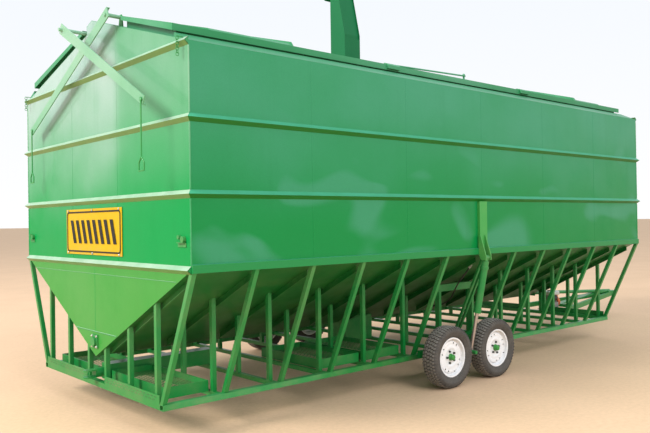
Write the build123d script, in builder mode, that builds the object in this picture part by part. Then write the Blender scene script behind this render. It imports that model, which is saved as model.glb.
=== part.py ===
from build123d import *
import os
from math import cos, hypot, radians, sin, sqrt, tan

# Wheeled field bin (grain cart): a long steel box on a V hopper, standing on a skid frame that
# two tandem axle sets lift clear of the ground. +X runs to the drawbar end, +Z is up, and the
# origin is on the ground under the middle of the overall length and width. Millimetres.

os.makedirs("parts", exist_ok=True)

# ---- driving dimensions ----------------------------------------------------------------
overall_length = 10150.0      # lid shaft ends at the rear to the eye of the drawbar
rear_overhang = 250.0         # lid levers and shafts behind the rear end wall
body_length = 7200.0          # six 1.2 m sheets
body_width = 3450.0
wall_height = 1727.0          # three bands of sheet
floor_z = 1398.0              # lower edge of the walls
gable_rise = 523.0            # ridge above the eaves
ridge_step = 110.0            # the roof drops here, beside the ridge, to clear the far lid shaft
step_drop = 80.0
hopper_depth = 862.0          # lower edge of the walls to the point of the V
sheet = 3.0                   # sheet thickness of walls, hopper and roof

skid_bottom = 260.0           # underside of the skid rails with the wheels down
skid_height = 48.0
skid_y = 1235.0               # centreline of a skid rail
skid_width = 60.0
strut = 40.0                  # square tube of struts and posts
strut_wall = 3.0

rib_proud = 35.0              # folded V ribs on the walls
rib_half = 32.0

tyre_radius = 321.5
tyre_width = 185.0
tyre_y = 1610.0               # centre plane of a tyre
tandem_x = 3505.0             # tandem pivot, from the rear wall
axle_spread = 390.0           # pivot to axle
arm_pivot_x = 4020.0          # trailing arm pivot, from the rear wall
arm_pivot_z = 453.0

near_shaft_y = -535.0         # lid shafts
near_shaft_z = 3565.0
far_shaft_y = 155.0
far_shaft_z = 3560.0
shaft_radius = 17.0
running = 0.05                # radial clearance of a turning fit

riser_x = 3227.5              # centre of the vertical auger, from the rear wall
screw_z = 675.0               # axis of the trough augers
screw_shaft = 20.0            # radius of every auger shaft

# ---- derived ---------------------------------------------------------------------------
rear = -overall_length / 2 + rear_overhang
front = rear + body_length
half = body_width / 2
eave_z = floor_z + wall_height
ridge_z = eave_z + gable_rise
apex_z = floor_z - hopper_depth
roof_slope = gable_rise / half
far_roof_slope = (gable_rise - roof_slope * ridge_step - step_drop) / (half - ridge_step)
hopper_slope = hopper_depth / (half - sheet)
skid_top = skid_bottom + skid_height
sheet_rise = sheet * sqrt(1 + hopper_slope**2)
roof_rise = sheet * sqrt(1 + roof_slope**2)
stations = [600.0 * i for i in range(1, 12)]
strut_stations = [20.0] + [s for s in stations if s != 3600.0] + [7180.0]


# ---- helpers ---------------------------------------------------------------------------
def block(x0, x1, y0, y1, z0, z1, mode=Mode.ADD):
    """Rectangular block between two opposite corners."""
    with Locations(((x0 + x1) / 2, (y0 + y1) / 2, (z0 + z1) / 2)):
        Box(x1 - x0, y1 - y0, z1 - z0, mode=mode)


def plate_yz(points, x0, x1, mode=Mode.ADD):
    """Polygon of (y, z) points, from x0 to x1."""
    with BuildSketch(Plane(origin=(x0, 0, 0), x_dir=(0, 1, 0), z_dir=(1, 0, 0))) as outline:
        with BuildLine():
            Polyline(*points, close=True)
        make_face()
    extrude(outline.sketch, amount=x1 - x0, mode=mode)


def plate_xz(points, y0, y1, mode=Mode.ADD):
    """Polygon of (x, z) points, from y0 to y1."""
    with BuildSketch(Plane(origin=(0, y1, 0), x_dir=(1, 0, 0), z_dir=(0, -1, 0))) as outline:
        with BuildLine():
            Polyline(*points, close=True)
        make_face()
    extrude(outline.sketch, amount=y1 - y0, mode=mode)


def plate_xy(points, z0, z1, mode=Mode.ADD):
    """Polygon of (x, y) points, from z0 to z1."""
    with BuildSketch(Plane.XY.offset(z0)) as outline:
        with BuildLine():
            Polyline(*points, close=True)
        make_face()
    extrude(outline.sketch, amount=z1 - z0, mode=mode)


def bar(start, end, width, depth, wall=0.0, side=(1, 0, 0), mode=Mode.ADD):
    """Straight flat or box-section bar; width lies along side."""
    run = Vector(*end) - Vector(*start)
    with BuildSketch(Plane(origin=start, x_dir=side, z_dir=run)) as section:
        Rectangle(width, depth)
        if wall > 0:
            Rectangle(width - 2 * wall, depth - 2 * wall, mode=Mode.SUBTRACT)
    extrude(section.sketch, amount=run.length, mode=mode)


def rod(start, end, radius, bore=0.0, mode=Mode.ADD):
    """Round bar or tube between two points."""
    run = Vector(*end) - Vector(*start)
    with BuildSketch(Plane(origin=start, z_dir=run)) as section:
        Circle(radius)
        if bore > 0:
            Circle(bore, mode=Mode.SUBTRACT)
    extrude(section.sketch, amount=run.length, mode=mode)


def mirrored(point):
    """The same point on the other side of the bin."""
    return (point[0], -point[1], point[2])


def save(builder, name):
    builder.part.label = name
    export_step(builder.part, "parts/" + name + ".step")


def roof_at(y):
    """Height of the top edge of the gable; it is lower beyond the step beside the ridge."""
    if y > ridge_step:
        return eave_z + far_roof_slope * (half - y)
    return ridge_z - roof_slope * abs(y)


def hopper_at(y):
    """Height of the underside of the hopper."""
    return apex_z + hopper_slope * abs(y)


# ---- walls -----------------------------------------------------------------------------
with BuildPart() as side_wall_near:
    block(rear, front, -half, -half + sheet, floor_z, eave_z)
save(side_wall_near, "side_wall_near")

with BuildPart() as side_wall_far:
    block(rear, front, half - sheet, half, floor_z, eave_z)
save(side_wall_far, "side_wall_far")

inner = half - sheet
gable = [
    (-inner, floor_z),
    (inner, floor_z),
    (inner, roof_at(inner)),
    (ridge_step, roof_at(ridge_step + 0.001)),
    (ridge_step, roof_at(ridge_step)),
    (0, ridge_z),
    (-inner, roof_at(-inner)),
]
with BuildPart() as end_wall_rear:
    plate_yz(gable, rear, rear + sheet)
save(end_wall_rear, "end_wall_rear")

with BuildPart() as end_wall_front:
    plate_yz(gable, front - sheet, front)
save(end_wall_front, "end_wall_front")

mitre_gap = 0.5

# Folded V ribs: two rings round the box, and one at the eaves and one at the foot of each end.
with BuildPart() as wall_ribs:
    for level in (floor_z + wall_height / 3, floor_z + 2 * wall_height / 3):
        for side in (-1, 1):
            wall = side * half
            nose = side * (half + rib_proud)
            plate_yz(
                [
                    (wall, level + rib_half),
                    (nose, level),
                    (wall, level - rib_half),
                    (wall, level - rib_half + 4),
                    (nose - side * 4.4, level),
                    (wall, level + rib_half - 4),
                ],
                rear - rib_proud,
                front + rib_proud,
            )
            for x, out in ((rear, -1), (front, 1)):
                corner = [
                    (x - out * mitre_gap, wall - side),
                    (x + out * 45, wall - side),
                    (x + out * 45, wall + side * 45),
                    (x + out * (45 - mitre_gap), wall + side * 45),
                    (x - out * mitre_gap, wall),
                ]
                plate_xy(corner, level - 60, level + 60, mode=Mode.SUBTRACT)
    for level in (
        floor_z,
        floor_z + wall_height / 3,
        floor_z + 2 * wall_height / 3,
        eave_z,
    ):
        ring = level not in (floor_z, eave_z)
        reach = half + rib_proud if ring else half
        for x, out in ((rear, -1), (front, 1)):
            with BuildPart(mode=Mode.PRIVATE) as end_rib:
                plate_xz(
                    [
                        (x, level + rib_half),
                        (x + out * rib_proud, level),
                        (x, level - rib_half),
                        (x, level - rib_half + 4),
                        (x + out * (rib_proud - 4.4), level),
                        (x, level + rib_half - 4),
                    ],
                    -reach,
                    reach,
                )
                for side in (-1, 1):
                    wall = side * half
                    corner = [
                        (x, wall),
                        (x + out * 45, wall + side * 45),
                        (x, wall + side * 45),
                    ]
                    plate_xy(corner, level - 60, level + 60, mode=Mode.SUBTRACT)
            add(end_rib.part)
save(wall_ribs, "wall_ribs")

# Flat-faced rail along the foot of each side.
rail_face = 20.0
rail_bottom = floor_z - 22.0
rail_top = floor_z + 45.0
with BuildPart() as bottom_rails:
    for side in (-1, 1):
        wall = side * half
        plate_yz(
            [
                (wall, rail_top),
                (wall + side * rail_face, rail_top - 4),
                (wall + side * rail_face, rail_bottom),
                (wall - side * 25, rail_bottom),
                (wall - side * 25, rail_bottom + 5),
                (wall, rail_bottom + 5),
            ],
            rear,
            front,
        )
save(bottom_rails, "bottom_rails")

# ---- V hopper --------------------------------------------------------------------------
sump_x0 = rear + 3000.0
sump_x1 = rear + 3460.0
sump_half = 150.0


def hopper_sheet(side):
    """One slope of the hopper, with its half of the outlet to the sump."""
    plate_yz(
        [
            (side * inner, floor_z),
            (side * inner, floor_z + sheet_rise),
            (0, apex_z + sheet_rise),
            (0, apex_z),
        ],
        rear + sheet,
        front - sheet,
    )
    near_edge = min(0, side * (sump_half - 6))
    far_edge = max(0, side * (sump_half - 6))
    block(sump_x0 + 30, sump_x1 - 30, near_edge, far_edge, apex_z - 50, apex_z + 150, mode=Mode.SUBTRACT)


with BuildPart() as hopper_slope_near:
    hopper_sheet(-1)
save(hopper_slope_near, "hopper_slope_near")

with BuildPart() as hopper_slope_far:
    hopper_sheet(1)
save(hopper_slope_far, "hopper_slope_far")

end_triangle = [(-inner, floor_z), (inner, floor_z), (0, apex_z)]
with BuildPart() as hopper_end_plates:
    plate_yz(end_triangle, rear, rear + sheet)
    plate_yz(end_triangle, front - sheet, front)
    rod((rear - 1, 0, screw_z), (rear + 4, 0, screw_z), 30, mode=Mode.SUBTRACT)
    rod((front - 4, 0, screw_z), (front + 1, 0, screw_z), 30, mode=Mode.SUBTRACT)
save(hopper_end_plates, "hopper_end_plates")

# Folded angles under the slopes, beside each frame.
angle_depth = 45.0 * sqrt(1 + hopper_slope**2)
with BuildPart() as hopper_stiffeners:
    for s in [72.0] + [t + 30.0 for t in stations] + [7128.0]:
        x = rear + s
        for side in (-1, 1):
            top = side * 1600.0
            low = side * 200.0
            plate_yz(
                [
                    (top, hopper_at(top)),
                    (low, hopper_at(low)),
                    (low, hopper_at(low) - angle_depth),
                    (top, hopper_at(top) - angle_depth),
                ],
                x - 3,
                x + 3,
            )
            plate_yz(
                [
                    (top, hopper_at(top) - angle_depth),
                    (low, hopper_at(low) - angle_depth),
                    (low, hopper_at(low) - angle_depth - 6),
                    (top, hopper_at(top) - angle_depth - 6),
                ],
                x - 15,
                x + 15,
            )
save(hopper_stiffeners, "hopper_stiffeners")

# ---- roof ------------------------------------------------------------------------------
near_hatch = (-1440.0, -610.0)
far_hatch = (240.0, 1460.0)
hatch_end = 60.0


def roof_strip(y0, y1, x0, x1):
    """Flat strip of roof sheet between two distances from the ridge."""
    plate_yz(
        [
            (y0, roof_at(y0)),
            (y1, roof_at(y1)),
            (y1, roof_at(y1) + roof_rise),
            (y0, roof_at(y0) + roof_rise),
        ],
        x0,
        x1,
    )


with BuildPart() as roof_deck:
    roof_strip(-half, near_hatch[0], rear, front)
    roof_strip(near_hatch[1], 0, rear, front)
    roof_strip(0, ridge_step, rear, front)
    roof_strip(ridge_step + 0.001, far_hatch[0], rear, front)
    block(
        rear,
        front,
        ridge_step,
        ridge_step + sheet,
        roof_at(ridge_step + 0.001) + 1,
        roof_at(ridge_step) + roof_rise - 0.2,
    )
    roof_strip(far_hatch[1], half, rear, front)
    for y0, y1 in (near_hatch, far_hatch):
        roof_strip(y0 + 0.5, y1 - 0.5, rear, rear + hatch_end)
        roof_strip(y0 + 0.5, y1 - 0.5, front - hatch_end, front)
    block(
        rear + riser_x - 128,
        rear + riser_x + 128,
        -126,
        126,
        ridge_z - 200,
        ridge_z + 100,
        mode=Mode.SUBTRACT,
    )
    # steeper flashing along each eave, up to the edge of the lid
    for side in (-1, 1):
        foot = (side * (half - 1), roof_at(side * (half - 1)) + roof_rise - 1)
        crest = (side * 1512.0, roof_at(side * 1512.0) + 38)
        root = (side * 1512.0, roof_at(side * 1512.0) + roof_rise - 1)
        under = (foot[0] - side * 10, roof_at(foot[0] - side * 10) + 1)
        plate_yz([foot, crest, (crest[0], crest[1] - 4), under], rear, front)
        plate_yz([root, crest, (crest[0] + side * 3, crest[1] - 1), (root[0] + side * 3, root[1])], rear, front)
        for x in (rear, front - sheet):
            plate_yz([foot, crest, root], x, x + sheet)
save(roof_deck, "roof_deck")

# Lid planes: top surface height at the eave edge and over the shaft.
near_lid_edge = (-1485.0, 3307.0)
near_lid_head = (-580.0, 3566.0)
far_lid_edge = (1505.0, 3301.0)
far_lid_head = (208.0, 3600.0)
near_lid_slope = (near_lid_head[1] - near_lid_edge[1]) / (near_lid_head[0] - near_lid_edge[0])
far_lid_slope = (far_lid_head[1] - far_lid_edge[1]) / (far_lid_head[0] - far_lid_edge[0])


def near_lid_at(y):
    return near_lid_edge[1] + near_lid_slope * (y - near_lid_edge[0])


def far_lid_at(y):
    return far_lid_edge[1] + far_lid_slope * (y - far_lid_edge[0])


coaming_gap = 6.0
with BuildPart() as hatch_coamings:
    for (y0, y1), lid_at in ((near_hatch, near_lid_at), (far_hatch, far_lid_at)):
        for y, inward in ((y0, 1), (y1, -1)):
            thick = y - inward * 4
            lo = min(y, thick)
            hi = max(y, thick)
            plate_yz(
                [
                    (lo, roof_at(lo) + roof_rise),
                    (hi, roof_at(hi) + roof_rise),
                    (hi, lid_at(hi) - coaming_gap),
                    (lo, lid_at(lo) - coaming_gap),
                ],
                rear + hatch_end - 4,
                front - hatch_end + 4,
            )
        for x in (rear + hatch_end - 4, front - hatch_end):
            lo = y0 + 0.5
            hi = y1 - 0.5
            plate_yz(
                [
                    (lo, roof_at(lo) + roof_rise),
                    (hi, roof_at(hi) + roof_rise),
                    (hi, lid_at(hi) - coaming_gap),
                    (lo, lid_at(lo) - coaming_gap),
                ],
                x,
                x + 4,
            )
save(hatch_coamings, "hatch_coamings")

# Bearing plates that carry the two lid shafts.
bearing_stations = [30.0, 1500.0, 2900.0, 4300.0, 5700.0, 7165.0]
with BuildPart() as shaft_bearings:
    for s in bearing_stations:
        for y, z in ((near_shaft_y, near_shaft_z), (far_shaft_y, far_shaft_z)):
            x = rear + s
            with BuildPart(mode=Mode.PRIVATE) as one_bearing:
                plate_yz(
                    [
                        (y - 38, roof_at(y - 38) + roof_rise),
                        (y + 38, roof_at(y + 38) + roof_rise),
                        (y + 24, z),
                        (y + 14, z + 24),
                        (y - 14, z + 24),
                        (y - 24, z),
                    ],
                    x,
                    x + 10,
                )
                rod((x - 1, y, z), (x + 11, y, z), shaft_radius + running, mode=Mode.SUBTRACT)
            add(one_bearing.part)
save(shaft_bearings, "shaft_bearings")

# ---- lids ------------------------------------------------------------------------------
skirt = 56.0
raised_strips = (
    (770.0, 860.0, 14.0),
    (1202.0, 8.0, 34.0),
    (6000.0, 50.0, 34.0),
    (6340.0, 600.0, 12.0),
)


def lid_shell(edge, head, lid_at, side):
    """Sheet lid with a skirt on its eave edge and both ends."""
    y_edge = edge[0]
    y_head = head[0]
    plate_yz(
        [
            (y_edge, lid_at(y_edge)),
            (y_head, lid_at(y_head)),
            (y_head, lid_at(y_head) - sheet),
            (y_edge, lid_at(y_edge) - sheet),
        ],
        rear,
        front,
    )
    plate_yz(
        [
            (y_edge, lid_at(y_edge) - sheet),
            (y_edge - side * sheet, lid_at(y_edge - side * sheet) - sheet),
            (y_edge - side * sheet, lid_at(y_edge) - skirt),
            (y_edge, lid_at(y_edge) - skirt),
        ],
        rear,
        front,
    )
    stop = y_head + side * 20
    for x in (rear, front - sheet):
        plate_yz(
            [
                (y_edge - side * sheet, lid_at(y_edge - side * sheet) - sheet),
                (stop, lid_at(stop) - sheet),
                (stop, lid_at(stop) - 38),
                (y_edge - side * sheet, lid_at(y_edge) - skirt),
            ],
            x,
            x + sheet,
        )


def lid_batten(x, width, height, edge, head, lid_at, side):
    """Raised joint strip running up the lid, with a bevelled end at the eave."""
    y_edge = edge[0]
    y_head = head[0] + side * 10
    plate_yz(
        [
            (y_edge, lid_at(y_edge)),
            (y_head, lid_at(y_head)),
            (y_head, lid_at(y_head) + height),
            (y_edge - side * 30, lid_at(y_edge - side * 30) + height),
        ],
        x - width / 2,
        x + width / 2,
    )


def lid_parts(edge, head, lid_at, side):
    lid_shell(edge, head, lid_at, side)
    y_edge = edge[0]
    for s, width, height in raised_strips:
        lid_batten(rear + s, width, height, edge, head, lid_at, side)
    for s in (2480.0, 4790.0):
        x = rear + s
        lip = y_edge + side * 24
        plate_yz(
            [
                (y_edge, lid_at(y_edge) - 44),
                (lip, lid_at(y_edge) - 44),
                (lip, lid_at(y_edge) - 10),
                (y_edge, lid_at(y_edge) + 10),
                (y_edge - side * 40, lid_at(y_edge - side * 40) + 10),
                (y_edge - side * 40, lid_at(y_edge - side * 40)),
                (y_edge, lid_at(y_edge)),
            ],
            x - 85,
            x + 85,
        )


with BuildPart() as near_lid:
    lid_parts(near_lid_edge, near_lid_head, near_lid_at, -1)
    # long latch handle lying along the lid, held up at one end by a post with a knob
    handle_y = -1300.0
    foot = near_lid_at(handle_y)
    block(rear + 3858, rear + 3872, handle_y - 9, handle_y + 9, foot - 3, foot + 40)
    block(rear + 2760, rear + 2790, handle_y - 14, handle_y + 14, foot - 3, foot + 12)
    rod((rear + 2750, handle_y, foot + 8), (rear + 3890, handle_y, foot + 42), 9)
    with Locations((rear + 3865, handle_y, foot + 52)):
        Sphere(15)
save(near_lid, "near_lid")

with BuildPart() as far_lid:
    lid_parts(far_lid_edge, far_lid_head, far_lid_at, 1)
save(far_lid, "far_lid")

# Lid shafts with the lugs that hold the lids, and the counter levers at the rear.
lug_stations = [110.0, 1000.0, 2200.0, 3700.0, 5000.0, 6200.0, 7080.0]


def lid_shaft(y, z, x_start, head, lid_at, side, lever_end, lever_x):
    rod((x_start, y, z), (front + 20, y, z), shaft_radius)
    y_tip = head[0] + side * 18
    y_root = head[0]
    for s in lug_stations:
        x = rear + s
        plate_yz(
            [
                (y + side * 8, z - 14),
                (y + side * 8, z + 14),
                (y_root, lid_at(y_root) - sheet),
                (y_tip, lid_at(y_tip) - sheet),
                (y_tip, lid_at(y_tip) - sheet - 3),
                (y_root + side * 8, lid_at(y_root) - sheet - 22),
            ],
            x - 4,
            x + 4,
        )
    run_y = lever_end[0] - y
    run_z = lever_end[1] - z
    length = hypot(run_y, run_z)
    uy = run_y / length
    uz = run_z / length
    wide = 48.0
    thin = 36.0
    plate_yz(
        [
            (y - uz * wide - uy * 45, z + uy * wide - uz * 45),
            (y + uz * wide - uy * 45, z - uy * wide - uz * 45),
            (lever_end[0] + uz * thin + uy * 30, lever_end[1] - uy * thin + uz * 30),
            (lever_end[0] - uz * thin + uy * 30, lever_end[1] + uy * thin + uz * 30),
        ],
        lever_x - 5,
        lever_x + 5,
    )
    # folded lip along the upper edge of the lever
    plate_yz(
        [
            (y - uz * wide - uy * 45, z + uy * wide - uz * 45),
            (y - uz * (wide - 6) - uy * 45, z + uy * (wide - 6) - uz * 45),
            (lever_end[0] - uz * (thin - 6) + uy * 30, lever_end[1] + uy * (thin - 6) + uz * 30),
            (lever_end[0] - uz * thin + uy * 30, lever_end[1] + uy * thin + uz * 30),
        ],
        lever_x + 5,
        lever_x + 28,
    )
    rod(
        (lever_x - 16, lever_end[0], lever_end[1]),
        (lever_x - 4, lever_end[0], lever_end[1]),
        8,
    )


near_lever_end = (1271.0, 2749.0)
far_lever_end = (-1396.0, 2705.0)
with BuildPart() as near_lid_shaft:
    lid_shaft(
        near_shaft_y, near_shaft_z, rear - 122, near_lid_head, near_lid_at, -1, near_lever_end, rear - 105
    )
save(near_lid_shaft, "near_lid_shaft")

with BuildPart() as far_lid_shaft:
    lid_shaft(
        far_shaft_y, far_shaft_z, rear - rear_overhang, far_lid_head, far_lid_at, 1, far_lever_end, rear - 215
    )
save(far_lid_shaft, "far_lid_shaft")


def pull_rod(lever_end, lever_x):
    """Hanging rod with an eye round the lever pin and a D handle at its foot."""
    x = lever_x - 11
    y = lever_end[0]
    z = lever_end[1]
    rod((x - 4.5, y, z), (x + 4.5, y, z), 16)
    rod((x, y, z - 12), (x, y, z - 440), 6)
    rod((x - 5, y, z), (x + 5, y, z), 8 + running, mode=Mode.SUBTRACT)
    top = z - 440
    loop = [
        (x, y, top),
        (x, y - 42, top - 45),
        (x, y - 42, top - 105),
        (x, y + 42, top - 105),
        (x, y + 42, top - 45),
        (x, y, top),
    ]
    for a, b in zip(loop[:-1], loop[1:]):
        rod(a, b, 6)
    for corner in loop[1:-1]:
        with Locations(corner):
            Sphere(6)
    with Locations((x, y, top)):
        Sphere(6)


with BuildPart() as near_pull_rod:
    pull_rod(near_lever_end, rear - 105)
save(near_pull_rod, "near_pull_rod")

with BuildPart() as far_pull_rod:
    pull_rod(far_lever_end, rear - 215)
save(far_pull_rod, "far_pull_rod")

# ---- skid frame ------------------------------------------------------------------------
rail_in = skid_y - skid_width / 2
rail_out = skid_y + skid_width / 2
with BuildPart() as skid_rails:
    for side in (-1, 1):
        bar(
            (rear, side * skid_y, skid_bottom + skid_height / 2),
            (front, side * skid_y, skid_bottom + skid_height / 2),
            skid_width,
            skid_height,
            wall=5,
            side=(0, 1, 0),
        )
save(skid_rails, "skid_rails")

post_shift = -42.0
with BuildPart() as cross_members:
    for x0 in (rear, front - 60):
        bar(
            (x0 + 30, -rail_in, skid_bottom + skid_height / 2),
            (x0 + 30, rail_in, skid_bottom + skid_height / 2),
            60,
            skid_height,
            wall=4,
        )
    for s in stations:
        x = rear + s + post_shift
        bar((x, -rail_in, skid_top - 20), (x, rail_in, skid_top - 20), 40, 40, wall=3)
save(cross_members, "cross_members")

with BuildPart() as kick_plates:
    for x0 in (rear, front - 5):
        for side in (-1, 1):
            lo = min(side * 195, side * rail_in)
            hi = max(side * 195, side * rail_in)
            block(x0, x0 + 5, lo, hi, skid_top, skid_top + 70)
save(kick_plates, "kick_plates")

# Diagonal struts from the skid rails out to the foot of the walls.
with BuildPart() as outer_struts:
    for s in strut_stations:
        for side in (-1, 1):
            foot = Vector(rear + s, side * (skid_y - 14), skid_top - 30)
            head = Vector(rear + s, side * (half - 2), floor_z)
            run = (head - foot).normalized()
            bar(
                tuple(foot - run * 40),
                tuple(head + run * 40),
                strut,
                strut,
                wall=strut_wall,
            )
    block(rear - 50, front + 50, -half - 200, half + 200, skid_top, rail_bottom, mode=Mode.INTERSECT)
save(outer_struts, "outer_struts")

# Vertical posts from the cross members up to the hopper, in two rows each side and at the ends.
outer_rows = [s for s in stations if s not in (3600.0, 4200.0)]
inner_rows = [s for s in stations if not 2900 < s < 3500]
end_rows = (1135.0, 652.0, 182.0)
with BuildPart() as hopper_posts:
    for side in (-1, 1):
        for s in outer_rows:
            x = rear + s + post_shift
            bar((x, side * 1125, skid_top), (x, side * 1125, floor_z), strut, strut, wall=strut_wall)
        for s in inner_rows:
            x = rear + s + post_shift
            bar((x, side * 625, skid_top), (x, side * 625, floor_z), strut, strut, wall=strut_wall)
        for y in end_rows:
            for x in (rear + 28, front - 28):
                bar((x, side * y, skid_top), (x, side * y, floor_z), strut, strut, wall=strut_wall)
    plate_yz(
        [
            (-inner, floor_z - 1),
            (-inner, skid_top),
            (inner, skid_top),
            (inner, floor_z - 1),
            (0, apex_z - 1),
        ],
        rear,
        front,
        mode=Mode.INTERSECT,
    )
save(hopper_posts, "hopper_posts")

# Expanded-metal walkways: (x from the rear wall, y range).
platforms = [
    (110.0, 525.0, 100.0, 1095.0),
    (110.0, 525.0, -1095.0, -100.0),
    (1790.0, 2325.0, -1090.0, -140.0),
    (2390.0, 2925.0, -1090.0, -140.0),
]
with BuildPart() as mesh_platforms:
    for x0, x1, y0, y1 in platforms:
        wide = x1 - x0 - 14
        long = y1 - y0 - 14
        with BuildSketch(Plane.XY.offset(skid_top + 40)) as panel:
            with Locations((rear + (x0 + x1) / 2, (y0 + y1) / 2)):
                Rectangle(wide, long)
                with GridLocations(52, 104, int((wide - 50) / 52), int((long - 60) / 104)):
                    with BuildLine(mode=Mode.PRIVATE) as diamond:
                        Polyline((-20, 0), (0, -44), (20, 0), (0, 44), close=True)
                    make_face(diamond.edges(), mode=Mode.SUBTRACT)
        extrude(panel.sketch, amount=4)
save(mesh_platforms, "mesh_platforms")

with BuildPart() as platform_frames:
    for x0, x1, y0, y1 in platforms:
        a = rear + x0
        b = rear + x1
        block(a, a + 6, y0, y1, skid_top, skid_top + 95)
        block(b - 6, b, y0, y1, skid_top, skid_top + 95)
        block(a + 6.5, b - 6.5, y0, y0 + 6, skid_top, skid_top + 95)
        block(a + 6.5, b - 6.5, y1 - 6, y1, skid_top, skid_top + 95)
save(platform_frames, "platform_frames")

# Central beam with the rear towing eye.
beam_z = skid_top + 75.0
with BuildPart() as tow_beam:
    bar((rear + 100, 0, beam_z), (rear + 1230, 0, beam_z), 150, 150, wall=6, side=(0, 1, 0))
    block(rear + 92, rear + 100, -75, 75, beam_z - 75, beam_z + 75)
save(tow_beam, "tow_beam")

hitch_pin = 14.0
with BuildPart() as rear_hitch:
    rod((rear - 20, 0, beam_z), (rear + 92, 0, beam_z), 43)
    for z0 in (beam_z + 24, beam_z - 36):
        with BuildSketch(Plane.XY.offset(z0)) as ear:
            with Locations((rear - 45, 0)):
                Rectangle(70, 84)
            with Locations((rear - 80, 0)):
                Circle(42)
                Circle(hitch_pin, mode=Mode.SUBTRACT)
        extrude(ear.sketch, amount=12)
save(rear_hitch, "rear_hitch")

# ---- rear end fittings -----------------------------------------------------------------
with BuildPart() as sign_plate:
    block(rear - 8, rear - 4, -590, 632, floor_z + 75, floor_z + 505)
    for y in (-540, 21, 582):
        for z in (floor_z + 100, floor_z + 480):
            rod((rear - 4, y, z), (rear, y, z), 9)
    for y in (-540, 21, 582):
        for z in (floor_z + 100, floor_z + 480):
            rod((rear - 12, y, z), (rear - 8, y, z), 8)
save(sign_plate, "sign_plate")


def chain(y, z_top, links):
    """Short hanging chain of round-wire links, ending in a ring."""
    for i in range(links):
        z = z_top - i * 20.4
        if i % 2 == 0:
            normal = (0, 1, 0)
        else:
            normal = (1, 0, 0)
        with BuildPart(mode=Mode.PRIVATE) as link:
            with Locations(Plane(origin=(rear - 46, y, z), z_dir=normal)):
                Torus(13, 2.5)
        add(link.part)


with BuildPart() as corner_fittings:
    for side in (-1, 1):
        y = side * 1600
        block(rear - 26, rear, y - 50, y + 50, floor_z + 205, floor_z + 211)
        block(rear - 6, rear, y - 60, y + 60, floor_z + 175, floor_z + 205)
        rod((rear - 26, y - 30, floor_z + 235), (rear, y - 30, floor_z + 235), 24)
        rod((rear - 22, y + 34, floor_z + 250), (rear, y + 34, floor_z + 250), 16)
        hook_y = side * 1640
        block(rear - 52, rear, hook_y - 3, hook_y + 3, eave_z + 37, eave_z + 43)
    for side in (-1, 1):
        chain(side * 1640, eave_z + 26, 7)
save(corner_fittings, "corner_fittings")

# ---- lift gear -------------------------------------------------------------------------
ram_top = (rear + tandem_x + 42.0, -half - 75.0, floor_z - 55.0)
ram_foot = (rear + tandem_x, -tyre_y, tyre_radius)
ram_run = Vector(*ram_foot) - Vector(*ram_top)
ram_unit = ram_run.normalized()

with BuildPart() as side_posts:
    for side in (-1, 1):
        wall = side * half
        out = side * (half + 30)
        lo = min(wall, out)
        hi = max(wall, out)
        x = rear + 3575.0
        with BuildPart(mode=Mode.PRIVATE) as post:
            block(x - 65, x + 65, lo, hi, rail_top, floor_z + wall_height / 3 - rib_half)
            face = half + rail_face
            for x0 in (ram_top[0] - 50, ram_top[0] + 38):
                plate_yz(
                    [
                        (side * face, floor_z + 180),
                        (side * (face + 22), floor_z + 180),
                        (side * (half + 108), floor_z - 30),
                        (side * (half + 108), floor_z - 84),
                        (side * (half + 44), floor_z - 84),
                        (side * face, rail_bottom),
                    ],
                    x0,
                    x0 + 12,
                )
            block(x - 62, x + 62, side * face - 1, side * face + 1, rail_bottom + 4, rail_top + 4)
            near_face = min(side * half, side * face)
            far_face = max(side * half, side * face)
            block(
                ram_top[0] - 60,
                x + 70,
                near_face,
                far_face,
                rail_bottom - 40,
                rail_top,
                mode=Mode.SUBTRACT,
            )
        add(post.part)
save(side_posts, "side_posts")

barrel_radius = 38.0
rod_radius = 18.0
barrel_start = 40.0
barrel_end = 600.0
with BuildPart() as lift_cylinders:
    for side in (1, -1):
        top = Vector(ram_top[0], side * ram_top[1], ram_top[2])
        unit = Vector(ram_unit.X, side * ram_unit.Y, ram_unit.Z)
        with BuildPart(mode=Mode.PRIVATE) as one_ram:
            rod(tuple(top + unit * barrel_start), tuple(top + unit * barrel_end), barrel_radius)
            rod(tuple(top + unit * 95), tuple(top + unit * 125), barrel_radius + 7)
            rod(tuple(top + unit * (barrel_end - 40)), tuple(top + unit * (barrel_end + 6)), barrel_radius + 4)
            rod((ram_top[0] - 36, top.Y, top.Z), (ram_top[0] + 36, top.Y, top.Z), 24)
            bar(tuple(top), tuple(top + unit * 45), 48, 36)
            rod(
                tuple(top + unit * 290),
                tuple(top + unit * (barrel_end + 10)),
                rod_radius + running,
                mode=Mode.SUBTRACT,
            )
        add(one_ram.part)
save(lift_cylinders, "lift_cylinders")

pivot_radius = 20.0
foot_y = tyre_y
slot_reach = 23.0


def lift_rod(side):
    """Ram rod with a slotted foot that bears on the tandem pivot pin."""
    top = Vector(ram_top[0], side * -ram_top[1], ram_top[2])
    foot = Vector(ram_foot[0], side * foot_y, ram_foot[2])
    unit = (foot - top).normalized()
    with BuildPart(mode=Mode.PRIVATE) as foot_plate:
        block(foot.X - 58, foot.X + 36, foot.Y - 9, foot.Y + 9, foot.Z - 36, foot.Z + 62)
    add(foot_plate.part)
    rod(tuple(top + unit * 565), tuple(foot - unit * 45), rod_radius)
    slot = pivot_radius + 1.5
    for x in (foot.X + 1, foot.X - slot_reach):
        rod((x, foot.Y - 20, foot.Z), (x, foot.Y + 20, foot.Z), slot, mode=Mode.SUBTRACT)
    block(
        foot.X - slot_reach,
        foot.X + 1,
        foot.Y - 20,
        foot.Y + 20,
        foot.Z - slot,
        foot.Z + slot,
        mode=Mode.SUBTRACT,
    )


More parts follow.
